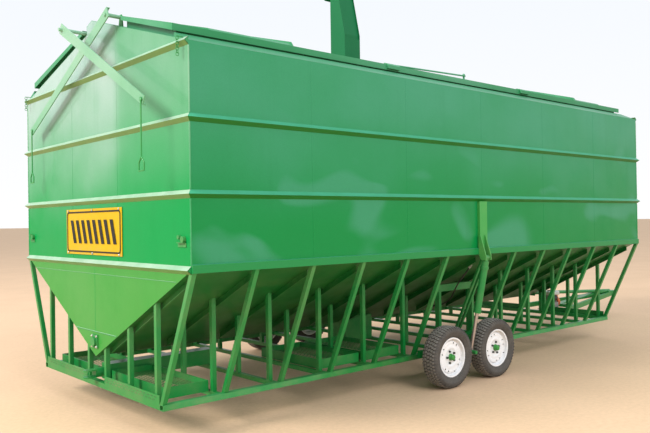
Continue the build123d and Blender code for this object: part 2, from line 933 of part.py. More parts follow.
with BuildPart() as lift_rod_near:
    lift_rod(-1)
save(lift_rod_near, "lift_rod_near")

with BuildPart() as lift_rod_far:
    lift_rod(1)
save(lift_rod_far, "lift_rod_far")

arm_in = 1280.0               # inner and outer faces of a trailing arm
arm_out = 1350.0


def lift_arm(side):
    """Trailing arm with its pivot boss, and the long pin that carries the rocker and the ram foot."""
    pin = (rear + tandem_x, tyre_radius)
    pivot = (rear + arm_pivot_x, arm_pivot_z)
    lo = min(side * arm_in, side * arm_out)
    hi = max(side * arm_in, side * arm_out)
    bar(
        (pin[0], (lo + hi) / 2, pin[1]),
        (pivot[0], (lo + hi) / 2, pivot[1]),
        70,
        80,
        side=(0, 1, 0),
    )
    rod((pin[0], lo, pin[1]), (pin[0], hi, pin[1]), 46)
    rod((pivot[0], lo, pivot[1]), (pivot[0], hi, pivot[1]), 46)
    outer_end = side * 1685.0
    rod((pin[0], side * (arm_out - 20), pin[1]), (pin[0], outer_end, pin[1]), pivot_radius)
    rod((pivot[0], lo - 1, pivot[1]), (pivot[0], hi + 1, pivot[1]), 22 + running, mode=Mode.SUBTRACT)


with BuildPart() as lift_arm_near:
    lift_arm(-1)
save(lift_arm_near, "lift_arm_near")

with BuildPart() as lift_arm_far:
    lift_arm(1)
save(lift_arm_far, "lift_arm_far")

# Hangers on the skid rails that hold the trailing arms.
with BuildPart() as arm_brackets:
    for side in (-1, 1):
        px = rear + arm_pivot_x
        inner_plate = (side * (rail_out), side * (rail_out + 12))
        outer_plate = (side * (arm_out + 3), side * (arm_out + 15))
        with BuildPart(mode=Mode.PRIVATE) as hanger:
            for a, b in (inner_plate, outer_plate):
                plate_xz(
                    [
                        (px - 60, skid_bottom + 4),
                        (px + 80, skid_bottom + 4),
                        (px + 80, arm_pivot_z + 30),
                        (px + 40, arm_pivot_z + 58),
                        (px - 40, arm_pivot_z + 58),
                        (px - 60, arm_pivot_z + 30),
                    ],
                    min(a, b),
                    max(a, b),
                )
            if side < 0:
                lo, hi = outer_plate[1], inner_plate[0]
            else:
                lo, hi = inner_plate[0], outer_plate[1]
            block(px + 68, px + 80, lo, hi, skid_bottom + 4, arm_pivot_z + 30)
            block(px - 60, px + 80, lo, hi, skid_bottom + 4, skid_bottom + 16)
            rod((px, lo, arm_pivot_z), (px, hi, arm_pivot_z), 22)
        add(hanger.part)
        # travel-lock block on the rail ahead of the tandem set
        bx = rear + 3080.0
        a = side * rail_out
        b = side * (rail_out + 45)
        block(bx - 50, bx + 80, min(a, b), max(a, b), skid_bottom + 14, skid_bottom + 92)
save(arm_brackets, "arm_brackets")

rocker_in = 1462.0
rocker_out = 1488.0


def rocker(side):
    """Walking beam that joins two axles, with its stub axles."""
    lo = min(side * rocker_in, side * rocker_out)
    hi = max(side * rocker_in, side * rocker_out)
    px = rear + tandem_x
    z = tyre_radius
    plate_xz(
        [
            (px - axle_spread - 45, z - 26),
            (px - axle_spread - 45, z + 26),
            (px - 70, z + 52),
            (px + 70, z + 52),
            (px + axle_spread + 45, z + 26),
            (px + axle_spread + 45, z - 26),
            (px + 70, z - 44),
            (px - 70, z - 44),
        ],
        lo,
        hi,
    )
    for x in (px - axle_spread, px + axle_spread):
        rod((x, side * (rocker_out - 10), z), (x, side * 1676, z), 16)
    rod((px, lo - 1, z), (px, hi + 1, z), pivot_radius + running, mode=Mode.SUBTRACT)


with BuildPart() as rocker_near:
    rocker(-1)
save(rocker_near, "rocker_near")

with BuildPart() as rocker_far:
    rocker(1)
save(rocker_far, "rocker_far")

# ---- wheels ----------------------------------------------------------------------------
rim_seat = 192.0


def tyre(x, side):
    """Tyre with rounded shoulders and four shallow grooves in the tread."""
    w = tyre_width / 2
    r = tyre_radius
    with BuildSketch(Plane(origin=(x, side * tyre_y, r), x_dir=(0, 1, 0), z_dir=(1, 0, 0))) as section:
        with BuildLine():
            Polyline(
                (-60, rim_seat),
                (60, rim_seat),
                (60, rim_seat + 13.6),
                (68, rim_seat + 16),
                (84, rim_seat + 40),
                (w, rim_seat + 68),
                (w - 2, rim_seat + 90),
                (w - 13, r - 14),
                (w - 26, r - 3),
                (w - 48, r),
                (-w + 48, r),
                (-w + 26, r - 3),
                (-w + 13, r - 14),
                (-w + 2, rim_seat + 90),
                (-w, rim_seat + 68),
                (-84, rim_seat + 40),
                (-68, rim_seat + 16),
                (-60, rim_seat + 13.6),
                close=True,
            )
        make_face()
        with BuildLine(mode=Mode.PRIVATE) as cavity:
            Polyline(
                (-50, rim_seat),
                (50, rim_seat),
                (52, rim_seat + 18),
                (72, rim_seat + 44),
                (w - 12, rim_seat + 70),
                (w - 14, rim_seat + 88),
                (w - 28, r - 26),
                (-w + 28, r - 26),
                (-w + 14, rim_seat + 88),
                (-w + 12, rim_seat + 70),
                (-72, rim_seat + 44),
                (-52, rim_seat + 18),
                close=True,
            )
        make_face(cavity.edges(), mode=Mode.SUBTRACT)
        with Locations((-42, r), (-14, r), (14, r), (42, r)):
            Rectangle(8, 14, mode=Mode.SUBTRACT)
    axle = Axis((x, 0, r), (0, 1, 0))
    revolve(section.sketch, axis=axle)


def disc_wheel(x, side):
    """Pressed steel wheel with vent slots, hub, stud nuts and grease cap."""
    z = tyre_radius
    y = side * tyre_y
    seat = rim_seat - 0.4
    plane = Plane(origin=(x, y, z), x_dir=(0, side, 0), z_dir=(side, 0, 0))
    axle = Axis((x, 0, z), (0, 1, 0))
    with BuildSketch(plane) as barrel:
        with BuildLine():
            Polyline(
                (-66, seat - 4),
                (-66, seat + 13),
                (-60.4, seat + 13),
                (-60.4, seat),
                (-36, seat - 3),
                (-30, seat - 20),
                (24, seat - 20),
                (32, seat - 3),
                (60.4, seat),
                (60.4, seat + 13),
                (66, seat + 13),
                (66, seat - 4),
                (36, seat - 8),
                (28, seat - 25),
                (-34, seat - 25),
                (-40, seat - 8),
                close=True,
            )
        make_face()
    revolve(barrel.sketch, axis=axle)
    with BuildSketch(plane) as disc:
        with BuildLine():
            Polyline(
                (8, seat - 25),
                (24, seat - 25),
                (34, 140),
                (44, 108),
                (34, 74),
                (34, 34),
                (28, 34),
                (28, 76),
                (36, 108),
                (26, 138),
                (12, 154),
                close=True,
            )
        make_face()
    revolve(disc.sketch, axis=axle)
    with BuildSketch(plane) as hub:
        with BuildLine():
            Polyline(
                (-70, 16 + running),
                (-70, 42),
                (26, 42),
                (28, 34),
                (34, 34),
                (34, 38),
                (52, 36),
                (74, 32),
                (84, 20),
                (84, 0),
                (70, 0),
                (70, 16 + running),
                close=True,
            )
        make_face()
    revolve(hub.sketch, axis=axle)
    for i in range(4):
        for offset in (-12, 12):
            angle = radians(45 + 90 * i + offset)
            cx = x + 124 * sin(angle)
            cz = z + 124 * cos(angle)
            rod((cx, y - 60 * side, cz), (cx, y + 60 * side, cz), 8, mode=Mode.SUBTRACT)
    for i in range(5):
        angle = radians(72 * i)
        cx = x + 57 * sin(angle)
        cz = z + 57 * cos(angle)
        rod((cx, y + 30 * side, cz), (cx, y + 52 * side, cz), 10)


wheel_places = {
    "near_rear": (rear + tandem_x - axle_spread, -1),
    "near_front": (rear + tandem_x + axle_spread, -1),
    "far_rear": (rear + tandem_x - axle_spread, 1),
    "far_front": (rear + tandem_x + axle_spread, 1),
}
for place, (wheel_x, wheel_side) in wheel_places.items():
    with BuildPart() as one_tyre:
        tyre(wheel_x, wheel_side)
    save(one_tyre, "tyre_" + place)
    with BuildPart() as one_wheel:
        disc_wheel(wheel_x, wheel_side)
    save(one_wheel, "wheel_" + place)

# Inner frame behind each pair of wheels, with a twin diagonal up to the wall.
with BuildPart() as lift_frame:
    for side in (-1, 1):
        with BuildPart(mode=Mode.PRIVATE) as one_frame:
            y = side * 1125.0
            bar((rear + 3558, y, skid_top), (rear + 3558, y, 935), strut, 60, wall=3)
            bar((rear + 4158, y, skid_top), (rear + 4158, y, 935), strut, 60, wall=3)
            bar((rear + 3520, y, 975), (rear + 4200, y, 975), 60, 80, wall=4, side=(0, 1, 0))
        add(one_frame.part)
        for shift in (0.0, 70.0):
            with BuildPart(mode=Mode.PRIVATE) as diagonal:
                bar(
                    (rear + 3635 + shift, side * (half - 5), floor_z - 5),
                    (rear + 3790 + shift, side * 1168, skid_top + 150),
                    30,
                    24,
                )
                block(rear + 3500, rear + 4200, -half - 50, half + 50, skid_top, rail_bottom, mode=Mode.INTERSECT)
            add(diagonal.part)
save(lift_frame, "lift_frame")

# ---- sump, riser and augers ------------------------------------------------------------
riser = rear + riser_x
casing_x = 127.0
casing_y = 125.0
casing_top = 3948.0
sump_bottom = 318.0
with BuildPart() as sump_box:
    plate_xz(
        [
            (sump_x0, apex_z + 73),
            (sump_x0 + 26, sump_bottom),
            (sump_x1, sump_bottom),
            (sump_x1, apex_z + 73),
        ],
        -sump_half,
        sump_half,
    )
    plate_xz(
        [
            (sump_x0 + 4, apex_z + 100),
            (sump_x0 + 30, sump_bottom + 4),
            (sump_x1 - 4, sump_bottom + 4),
            (sump_x1 - 4, apex_z + 100),
        ],
        -sump_half + 4,
        sump_half - 4,
        mode=Mode.SUBTRACT,
    )
    plate_yz(
        [
            (-400, hopper_at(400)),
            (0, apex_z),
            (400, hopper_at(400)),
        ],
        sump_x0 - 10,
        sump_x1 + 10,
        mode=Mode.SUBTRACT,
    )
    rod((riser, 0, sump_bottom + 2), (riser, 0, sump_bottom + 14), 40)
    rod((riser, 0, sump_bottom + 6), (riser, 0, sump_bottom + 20), screw_shaft + running, mode=Mode.SUBTRACT)
save(sump_box, "sump_box")

with BuildPart() as riser_casing:
    block(riser - casing_x, riser + casing_x, -casing_y, casing_y, sump_bottom + 4, casing_top)
    block(
        riser - casing_x + 3,
        riser + casing_x - 3,
        -casing_y + 3,
        casing_y - 3,
        sump_bottom,
        casing_top + 10,
        mode=Mode.SUBTRACT,
    )
    block(riser - 200, riser + 200, -95, 95, 560, 800, mode=Mode.SUBTRACT)
    # flashing collar where the casing leaves the roof
    block(riser - casing_x - 30, riser + casing_x + 30, -casing_y - 6, casing_y + 6, ridge_z + 8, ridge_z + 14)
    block(
        riser - casing_x + 3,
        riser + casing_x - 3,
        -casing_y + 3,
        casing_y - 3,
        ridge_z,
        ridge_z + 30,
        mode=Mode.SUBTRACT,
    )
save(riser_casing, "riser_casing")

head_top = 4740.0
with BuildPart() as discharge_head:
    plate_yz(
        [
            (-casing_y, casing_top),
            (casing_y, casing_top),
            (casing_y, head_top),
            (0, head_top),
            (-20, 4500),
            (-casing_y, 4018),
        ],
        riser - casing_x,
        riser + casing_x,
    )
    plate_yz(
        [
            (-casing_y + 3, casing_top - 1),
            (casing_y - 3, casing_top - 1),
            (casing_y - 3, head_top - 3),
            (18, head_top - 3),
            (-1, 4500),
            (-casing_y + 22, 4016),
            (-casing_y + 22, 3962),
            (-casing_y + 3, 3958),
        ],
        riser - casing_x + 3,
        riser + casing_x - 3,
        mode=Mode.SUBTRACT,
    )
    # the sloping front is set back between the two side plates
    plate_yz(
        [
            (-casing_y - 1, 3966),
            (-casing_y - 1, 4018),
            (-21, 4504),
            (-17, 4560),
            (0, 4560),
            (-4, 4500),
            (-casing_y + 19, 4018),
            (-casing_y + 19, 3966),
        ],
        riser - casing_x + 3,
        riser + casing_x - 3,
        mode=Mode.SUBTRACT,
    )
    # outlet through the far plate, with a short down-turned spout
    block(riser - 95, riser + 95, casing_y - 5, casing_y + 5, 4565, 4720, mode=Mode.SUBTRACT)
    with BuildPart(mode=Mode.PRIVATE) as spout:
        plate_yz(
            [
                (casing_y, 4560),
                (casing_y, 4725),
                (casing_y + 110, 4712),
                (casing_y + 220, 4580),
                (casing_y + 130, 4500),
                (casing_y + 60, 4550),
            ],
            riser - 100,
            riser + 100,
        )
        plate_yz(
            [
                (casing_y - 1, 4564),
                (casing_y - 1, 4721),
                (casing_y + 108, 4708),
                (casing_y + 226, 4566),
                (casing_y + 139, 4498),
                (casing_y + 62, 4554),
            ],
            riser - 96,
            riser + 96,
            mode=Mode.SUBTRACT,
        )
    add(spout.part)
save(discharge_head, "discharge_head")


def one_flight(radius, pitch, hand):
    """One turn of auger flighting about Z, starting at height 0."""
    inner_r = screw_shaft + 0.2
    with BuildPart(mode=Mode.PRIVATE) as turn:
        with BuildLine(mode=Mode.PRIVATE) as path:
            Helix(pitch=pitch, height=pitch, radius=radius, lefthand=hand < 0)
        with BuildSketch(Plane.XZ) as blade:
            with Locations(((inner_r + radius) / 2, 0)):
                Rectangle(radius - inner_r, 5)
        sweep(blade.sketch, path=path.line, is_frenet=True)
    return turn.part


def flights(radius, pitch, turns, origin, direction, hand=1):
    """A row of flight turns from origin along direction."""
    turn = one_flight(radius, pitch, hand)
    frame = Plane(origin=origin, x_dir=(0, 1, 0), z_dir=direction)
    solids = []
    for i in range(turns):
        solids.append(frame.location * Location((0, 0, i * pitch)) * turn)
    return solids


with BuildPart() as trough_screw_rear:
    rod((rear - 22, 0, screw_z), (rear + 3062, 0, screw_z), screw_shaft)
    for piece in flights(90.0, 230.0, 13, (rear + 30, 0, screw_z), (1, 0, 0), hand=1):
        add(piece)
save(trough_screw_rear, "trough_screw_rear")

with BuildPart() as trough_screw_front:
    rod((rear + 3398, 0, screw_z), (front + 90, 0, screw_z), screw_shaft)
    for piece in flights(90.0, 230.0, 16, (rear + 3435, 0, screw_z), (1, 0, 0), hand=-1):
        add(piece)
save(trough_screw_front, "trough_screw_front")

with BuildPart() as riser_screw:
    rod((riser, 0, sump_bottom + 6), (riser, 0, 4110), screw_shaft)
    for piece in flights(105.0, 224.0, 16, (riser, 0, sump_bottom + 24), (0, 0, 1), hand=1):
        add(piece)
save(riser_screw, "riser_screw")

# Bearings of the augers: rear boss, two hangers by the sump and a spider in the riser.
hanger_plate = [
    (-(655 - apex_z - sheet_rise) / hopper_slope + 1, 655),
    ((655 - apex_z - sheet_rise) / hopper_slope - 1, 655),
    ((700 - apex_z - sheet_rise) / hopper_slope - 1, 700),
    (-(700 - apex_z - sheet_rise) / hopper_slope + 1, 700),
]
with BuildPart() as screw_bearings:
    with BuildPart(mode=Mode.PRIVATE) as rear_boss:
        rod((rear - 34, 0, screw_z), (rear, 0, screw_z), 44)
        block(rear - 12, rear, -62, 62, screw_z - 62, screw_z + 62)
        rod((rear - 24, 0, screw_z), (rear + 1, 0, screw_z), screw_shaft + running, mode=Mode.SUBTRACT)
    add(rear_boss.part)
    for x in (rear + 3040, rear + 3404):
        with BuildPart(mode=Mode.PRIVATE) as hanger_bearing:
            plate_yz(hanger_plate, x, x + 12)
            rod((x - 4, 0, screw_z), (x + 16, 0, screw_z), 34)
            rod((x - 6, 0, screw_z), (x + 18, 0, screw_z), screw_shaft + running, mode=Mode.SUBTRACT)
        add(hanger_bearing.part)
    with BuildPart(mode=Mode.PRIVATE) as spider:
        block(riser - casing_x + 3, riser + casing_x - 3, -12, 12, 4064, 4076)
        rod((riser, 0, 4058), (riser, 0, 4082), 34)
        rod((riser, 0, 4050), (riser, 0, 4090), screw_shaft + running, mode=Mode.SUBTRACT)
    add(spider.part)
save(screw_bearings, "screw_bearings")

# ---- drive at the drawbar end ----------------------------------------------------------
with BuildPart() as engine:
    with BuildPart(mode=Mode.PRIVATE) as gearbox:
        block(front, front + 75, -70, 70, screw_z - 62, screw_z + 70)
        rod((front + 75, 0, screw_z), (front + 92, 0, screw_z), 40)
        rod((front - 1, 0, screw_z), (front + 91, 0, screw_z), screw_shaft + running, mode=Mode.SUBTRACT)
    add(gearbox.part)
    with BuildPart(mode=Mode.PRIVATE) as motor:
        block(front + 14, front + 330, -360, -100, skid_top + 12, skid_top + 22)
        block(front + 60, front + 260, -340, -140, skid_top + 22, skid_top + 150)
        block(front + 80, front + 240, -310, -170, skid_top + 150, skid_top + 230)
        block(front + 50, front + 270, -350, -140, skid_top + 230, skid_top + 310)
        rod((front + 260, -240, skid_top + 118), (front + 320, -240, skid_top + 118), 90)
        rod((front + 20, -240, skid_top + 118), (front + 62, -240, skid_top + 118), 24)
        fillet(motor.edges().filter_by(Axis.Z), 8)
    add(motor.part)
save(engine, "engine")

# ---- drawbar ---------------------------------------------------------------------------
head_x = front + 2480.0
head_z = 378.0
with BuildPart() as drawbar:
    rod((front, 0, apex_z + 32), (head_x + 40, 0, head_z + 40), 28)
    for side in (-1, 1):
        bar(
            (front, side * 475, skid_bottom + 26),
            (head_x - 40, side * 52, head_z - 10),
            50,
            75,
            wall=0,
            side=(0, 1, 0),
        )
    block(head_x - 120, head_x + 120, -80, 80, head_z - 45, head_z + 45)
    # sloping gusset from the legs up to the pole
    plate_xz(
        [
            (front + 700, head_z - 50),
            (front + 700, head_z - 74),
            (head_x - 420, head_z + 30),
            (head_x - 110, head_z + 34),
            (head_x - 110, head_z + 56),
            (head_x - 430, head_z + 54),
        ],
        -60,
        60,
    )
    bar((front + 760, -340, head_z - 66), (front + 760, 340, head_z - 66), 60, 50)
    block(front - 1, front + 20, -60, 60, apex_z - 10, apex_z + 66)
    block(front, front + 12, -560, 560, skid_bottom, skid_top)
    block(rear, front, -600, 600, 0, 5000, mode=Mode.SUBTRACT)
save(drawbar, "drawbar")

tow_eye = 16.0
with BuildPart() as tow_clevis:
    tip_x = front + 2700 - 48
    for z0 in (head_z + 20, head_z - 38):
        with BuildSketch(Plane.XY.offset(z0)) as cheek:
            with Locations(((head_x + 120 + tip_x) / 2, 0)):
                Rectangle(tip_x - head_x - 120, 96)
            with Locations((tip_x, 0)):
                Circle(48)
                Circle(tow_eye, mode=Mode.SUBTRACT)
        extrude(cheek.sketch, amount=18)
    block(head_x + 120, head_x + 134, -60, 60, head_z - 38, head_z + 38)
save(tow_clevis, "tow_clevis")

# ---- hydraulic hoses -------------------------------------------------------------------
hose_radius = 8.0
hose_route = [
    (3700.0, 1480.0, 1235.0),
    (3655.0, 1425.0, 1130.0),
    (3632.0, 1355.0, 1040.0),
    (3640.0, 1290.0, 945.0),
    (3680.0, 1215.0, 860.0),
    (3690.0, 1130.0, 800.0),
    (3668.0, 1035.0, 760.0),
    (3640.0, 930.0, 745.0),
]


def corner_radii(points):
    """Arc at each corner: 0.45 of the shorter run over the tangent of half the turn."""
    radii = []
    for a, b, c in zip(points[:-2], points[1:-1], points[2:]):
        first = Vector(*b) - Vector(*a)
        second = Vector(*c) - Vector(*b)
        turn = radians(first.get_angle(second))
        radii.append(0.45 * min(first.length, second.length) / tan(turn / 2))
    return radii


with BuildPart() as hydraulic_hoses:
    for side in (-1, 1):
        route = [(rear + x, side * y, z) for x, y, z in hose_route]
        bends = corner_radii(route)
        with BuildPart(mode=Mode.PRIVATE) as hose:
            with BuildLine(mode=Mode.PRIVATE) as line:
                FilletPolyline(*route, radius=bends)
            start = Vector(*route[0])
            heading = Vector(*route[1]) - start
            with BuildSketch(Plane(origin=start, z_dir=heading)) as hose_section:
                Circle(hose_radius)
            sweep(hose_section.sketch, path=line.line)
        route_length = sum(edge.length for edge in line.edges())
        section_area = hose_section.sketch.area
        print("hose radii", [round(b) for b in bends])
        print("hose volume over section times length", hose.part.volume / (section_area * route_length))
        add(hose.part)
save(hydraulic_hoses, "hydraulic_hoses")
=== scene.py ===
import math

import bmesh
import bpy
from mathutils import Matrix, Vector, noise


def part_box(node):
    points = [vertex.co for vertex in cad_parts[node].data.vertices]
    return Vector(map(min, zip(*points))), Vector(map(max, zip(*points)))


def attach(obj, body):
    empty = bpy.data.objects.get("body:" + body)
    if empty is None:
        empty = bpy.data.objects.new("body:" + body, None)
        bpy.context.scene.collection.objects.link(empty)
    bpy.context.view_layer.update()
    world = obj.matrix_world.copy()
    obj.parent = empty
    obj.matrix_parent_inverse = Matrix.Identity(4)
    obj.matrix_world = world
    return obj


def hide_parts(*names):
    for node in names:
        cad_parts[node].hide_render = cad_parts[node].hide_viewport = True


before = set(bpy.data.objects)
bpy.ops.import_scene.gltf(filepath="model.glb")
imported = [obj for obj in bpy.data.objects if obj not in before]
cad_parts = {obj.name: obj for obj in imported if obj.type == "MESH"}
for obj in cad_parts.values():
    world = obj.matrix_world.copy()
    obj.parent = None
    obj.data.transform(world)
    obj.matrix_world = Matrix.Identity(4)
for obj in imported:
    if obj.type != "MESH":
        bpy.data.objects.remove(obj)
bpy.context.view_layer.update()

# ---- places read from the frame ----
wall_low, wall_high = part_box("side_wall_near")
rear = wall_low.x
front = wall_high.x
half = -wall_low.y
floor_z = wall_low.z
eave_z = wall_high.z
ridge_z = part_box("end_wall_rear")[1].z
apex_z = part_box("hopper_end_plates")[0].z
skid_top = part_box("skid_rails")[1].z
sign_low, sign_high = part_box("sign_plate")


# ---- mesh helpers ----
def finish_mesh(bm, name, smooth=32.0):
    """Object from a bmesh, smooth except where two faces meet at a clear angle."""
    bmesh.ops.recalc_face_normals(bm, faces=bm.faces)
    for face in bm.faces:
        face.smooth = True
    limit = math.radians(smooth)
    for edge in bm.edges:
        if len(edge.link_faces) == 2:
            edge.smooth = edge.calc_face_angle(0.0) < limit
    mesh = bpy.data.meshes.new(name)
    bm.to_mesh(mesh)
    bm.free()
    obj = bpy.data.objects.new(name, mesh)
    bpy.context.scene.collection.objects.link(obj)
    return obj


def place(obj, body, material):
    """Gives a piece its material and its body."""
    obj.data.materials.clear()
    obj.data.materials.append(material)
    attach(obj, body)
    return obj


def ring_of(bm, points):
    return [bm.verts.new(p) for p in points]


def bridge(bm, first, second):
    count = len(first)
    for i in range(count):
        j = (i + 1) % count
        bm.faces.new((first[i], first[j], second[j], second[i]))


def lathe(bm, profile, centre, axis="Y", side=1, segments=72, closed=False):
    """Turns (along, radius) points about an axis through centre."""
    rings = []
    for along, radius in profile:
        points = []
        for i in range(segments):
            angle = 2 * math.pi * i / segments
            u = radius * math.cos(angle)
            v = radius * math.sin(angle)
            if axis == "Y":
                offset = Vector((u, along * side, v))
            elif axis == "X":
                offset = Vector((along * side, u, v))
            else:
                offset = Vector((u, v, along * side))
            points.append(Vector(centre) + offset)
        rings.append(ring_of(bm, points))
    for first, second in zip(rings, rings[1:]):
        bridge(bm, first, second)
    if closed:
        bridge(bm, rings[-1], rings[0])
    else:
        bm.faces.new(rings[0])
        bm.faces.new(rings[-1])
    return rings


def soft_box(bm, low, high, bevel=0.003, matrix=None):
    """Block with rounded edges, between two corners."""
    size = Vector(high) - Vector(low)
    centre = (Vector(high) + Vector(low)) / 2
    made = bmesh.ops.create_cube(bm, size=1.0)
    verts = made["verts"]
    bmesh.ops.scale(bm, vec=size, verts=verts)
    bmesh.ops.translate(bm, vec=centre, verts=verts)
    if matrix is not None:
        bmesh.ops.transform(bm, matrix=matrix, verts=verts)
    edges = list({e for v in verts for e in v.link_edges})
    bmesh.ops.bevel(bm, geom=edges, offset=bevel, segments=2, affect="EDGES", profile=0.6)


def tube(bm, points, radius, sides=10, ripple=0.0, step=0.006, flat=1.0, normal=None):
    """Round tube along straight runs; a ripple makes it the bead of a weld."""
    path = []
    for a, b in zip(points, points[1:]):
        a = Vector(a)
        b = Vector(b)
        count = max(1, round((b - a).length / step)) if ripple else 1
        path += [a.lerp(b, i / count) for i in range(count)]
    path.append(Vector(points[-1]))
    last = None
    for index, point in enumerate(path):
        ahead = path[min(index + 1, len(path) - 1)] - path[max(index - 1, 0)]
        ahead.normalize()
        out = Vector(normal) if normal else ahead.orthogonal()
        out = (out - ahead * out.dot(ahead)).normalized()
        across = ahead.cross(out)
        size = radius * (1 + ripple * noise.noise(point * 160.0))
        turn = []
        for i in range(sides):
            angle = 2 * math.pi * i / sides
            turn.append(point + across * size * math.cos(angle) + out * size * flat * math.sin(angle))
        verts = ring_of(bm, turn)
        if last:
            bridge(bm, last, verts)
        else:
            bm.faces.new(verts)
        last = verts
    bm.faces.new(last)


def hexagon_bolt(bm, centre, normal, across=0.016, height=0.007, washer=True):
    """Hexagon head with a chamfer, on a washer."""
    n = Vector(normal).normalized()
    u = n.orthogonal().normalized()
    v = n.cross(u)
    c = Vector(centre)
    base = c
    if washer:
        rings = []
        for lift, radius in ((0.0, 0.72), (0.0016, 0.72), (0.0018, 0.66)):
            points = []
            for i in range(20):
                a = 2 * math.pi * i / 20
                points.append(c + n * lift + (u * math.cos(a) + v * math.sin(a)) * radius * across)
            rings.append(ring_of(bm, points))
        for first, second in zip(rings, rings[1:]):
            bridge(bm, first, second)
        bm.faces.new(rings[0])
        bm.faces.new(rings[-1])
        base = c + n * 0.0016
    rings = []
    for lift, radius in ((0.0, 0.577), (height * 0.8, 0.577), (height, 0.49)):
        points = []
        for i in range(6):
            a = 2 * math.pi * i / 6
            points.append(base + n * lift + (u * math.cos(a) + v * math.sin(a)) * radius * across)
        rings.append(ring_of(bm, points))
    for first, second in zip(rings, rings[1:]):
        bridge(bm, first, second)
    bm.faces.new(rings[0])
    bm.faces.new(rings[-1])


def cut(obj, cutter):
    """Subtracts one mesh from another and keeps the result."""
    modifier = obj.modifiers.new("cut", "BOOLEAN")
    modifier.operation = "DIFFERENCE"
    modifier.solver = "EXACT"
    modifier.object = cutter
    bpy.context.view_layer.update()
    shape = obj.evaluated_get(bpy.context.evaluated_depsgraph_get())
    mesh = bpy.data.meshes.new_from_object(shape)
    obj.modifiers.remove(modifier)
    obj.data = mesh
    bpy.data.objects.remove(cutter)
    return obj


# ---- materials ----
class Finish:
    """A procedural material made of a Principled shader and the nodes that feed it."""

    def __init__(self, name, metallic=0.0, coat=0.0, specular=0.5):
        self.material = bpy.data.materials.new(name)
        self.material.use_nodes = True
        self.tree = self.material.node_tree
        self.tree.nodes.clear()
        self.out = self.tree.nodes.new("ShaderNodeOutputMaterial")
        self.shader = self.tree.nodes.new("ShaderNodeBsdfPrincipled")
        self.tree.links.new(self.shader.outputs["BSDF"], self.out.inputs["Surface"])
        self.shader.inputs["Metallic"].default_value = metallic
        self.shader.inputs["Coat Weight"].default_value = coat
        self.shader.inputs["Coat Roughness"].default_value = 0.12
        self.shader.inputs["Specular IOR Level"].default_value = specular
        self.coord = self.tree.nodes.new("ShaderNodeTexCoord").outputs["Object"]

    def wire(self, value, socket):
        if isinstance(value, bpy.types.NodeSocket):
            self.tree.links.new(value, socket)
        elif isinstance(value, tuple) and len(value) == 3 and len(socket.default_value) == 4:
            socket.default_value = (*value, 1.0)
        else:
            socket.default_value = value

    def stretch(self, scale, offset=(0.0, 0.0, 0.0)):
        node = self.tree.nodes.new("ShaderNodeMapping")
        node.inputs["Scale"].default_value = scale
        node.inputs["Location"].default_value = offset
        self.tree.links.new(self.coord, node.inputs["Vector"])
        return node.outputs["Vector"]

    def grain(self, scale, detail=3.0, rough=0.55, vector=None, warp=0.0):
        node = self.tree.nodes.new("ShaderNodeTexNoise")
        node.inputs["Scale"].default_value = scale
        node.inputs["Detail"].default_value = detail
        node.inputs["Roughness"].default_value = rough
        node.inputs["Distortion"].default_value = warp
        self.tree.links.new(vector if vector is not None else self.coord, node.inputs["Vector"])
        return node.outputs["Fac"]

    def span(self, value, low, high, to_low=0.0, to_high=1.0, smooth=True):
        node = self.tree.nodes.new("ShaderNodeMapRange")
        node.interpolation_type = "SMOOTHSTEP" if smooth else "LINEAR"
        self.wire(value, node.inputs["Value"])
        node.inputs["From Min"].default_value = low
        node.inputs["From Max"].default_value = high
        node.inputs["To Min"].default_value = to_low
        node.inputs["To Max"].default_value = to_high
        return node.outputs["Result"]

    def sum(self, kind, a, b=0.0):
        node = self.tree.nodes.new("ShaderNodeMath")
        node.operation = kind
        self.wire(a, node.inputs[0])
        self.wire(b, node.inputs[1])
        return node.outputs[0]

    def mix(self, factor, a, b, kind="MIX"):
        node = self.tree.nodes.new("ShaderNodeMix")
        node.data_type = "RGBA"
        node.blend_type = kind
        self.wire(factor, node.inputs[0])
        self.wire(a, node.inputs[6])
        self.wire(b, node.inputs[7])
        return node.outputs[2]

    def split(self):
        node = self.tree.nodes.new("ShaderNodeSeparateXYZ")
        self.tree.links.new(self.coord, node.inputs[0])
        return node.outputs["X"], node.outputs["Y"], node.outputs["Z"]

    def from_axle(self):
        """Distance from the Y axis through the origin of the piece."""
        x, _, z = self.split()
        return self.sum("SQRT", self.sum("ADD", self.sum("MULTIPLY", x, x), self.sum("MULTIPLY", z, z)))

    def bump(self, height, distance, strength=1.0, under=None):
        node = self.tree.nodes.new("ShaderNodeBump")
        node.inputs["Strength"].default_value = strength
        node.inputs["Distance"].default_value = distance
        self.wire(height, node.inputs["Height"])
        if under is not None:
            self.tree.links.new(under, node.inputs["Normal"])
        return node.outputs["Normal"]

    def set(self, colour, rough, normal=None):
        self.wire(colour, self.shader.inputs["Base Color"])
        self.wire(rough, self.shader.inputs["Roughness"])
        if normal is not None:
            self.wire(normal, self.shader.inputs["Normal"])
        return self.material


earth = (0.42, 0.31, 0.19)


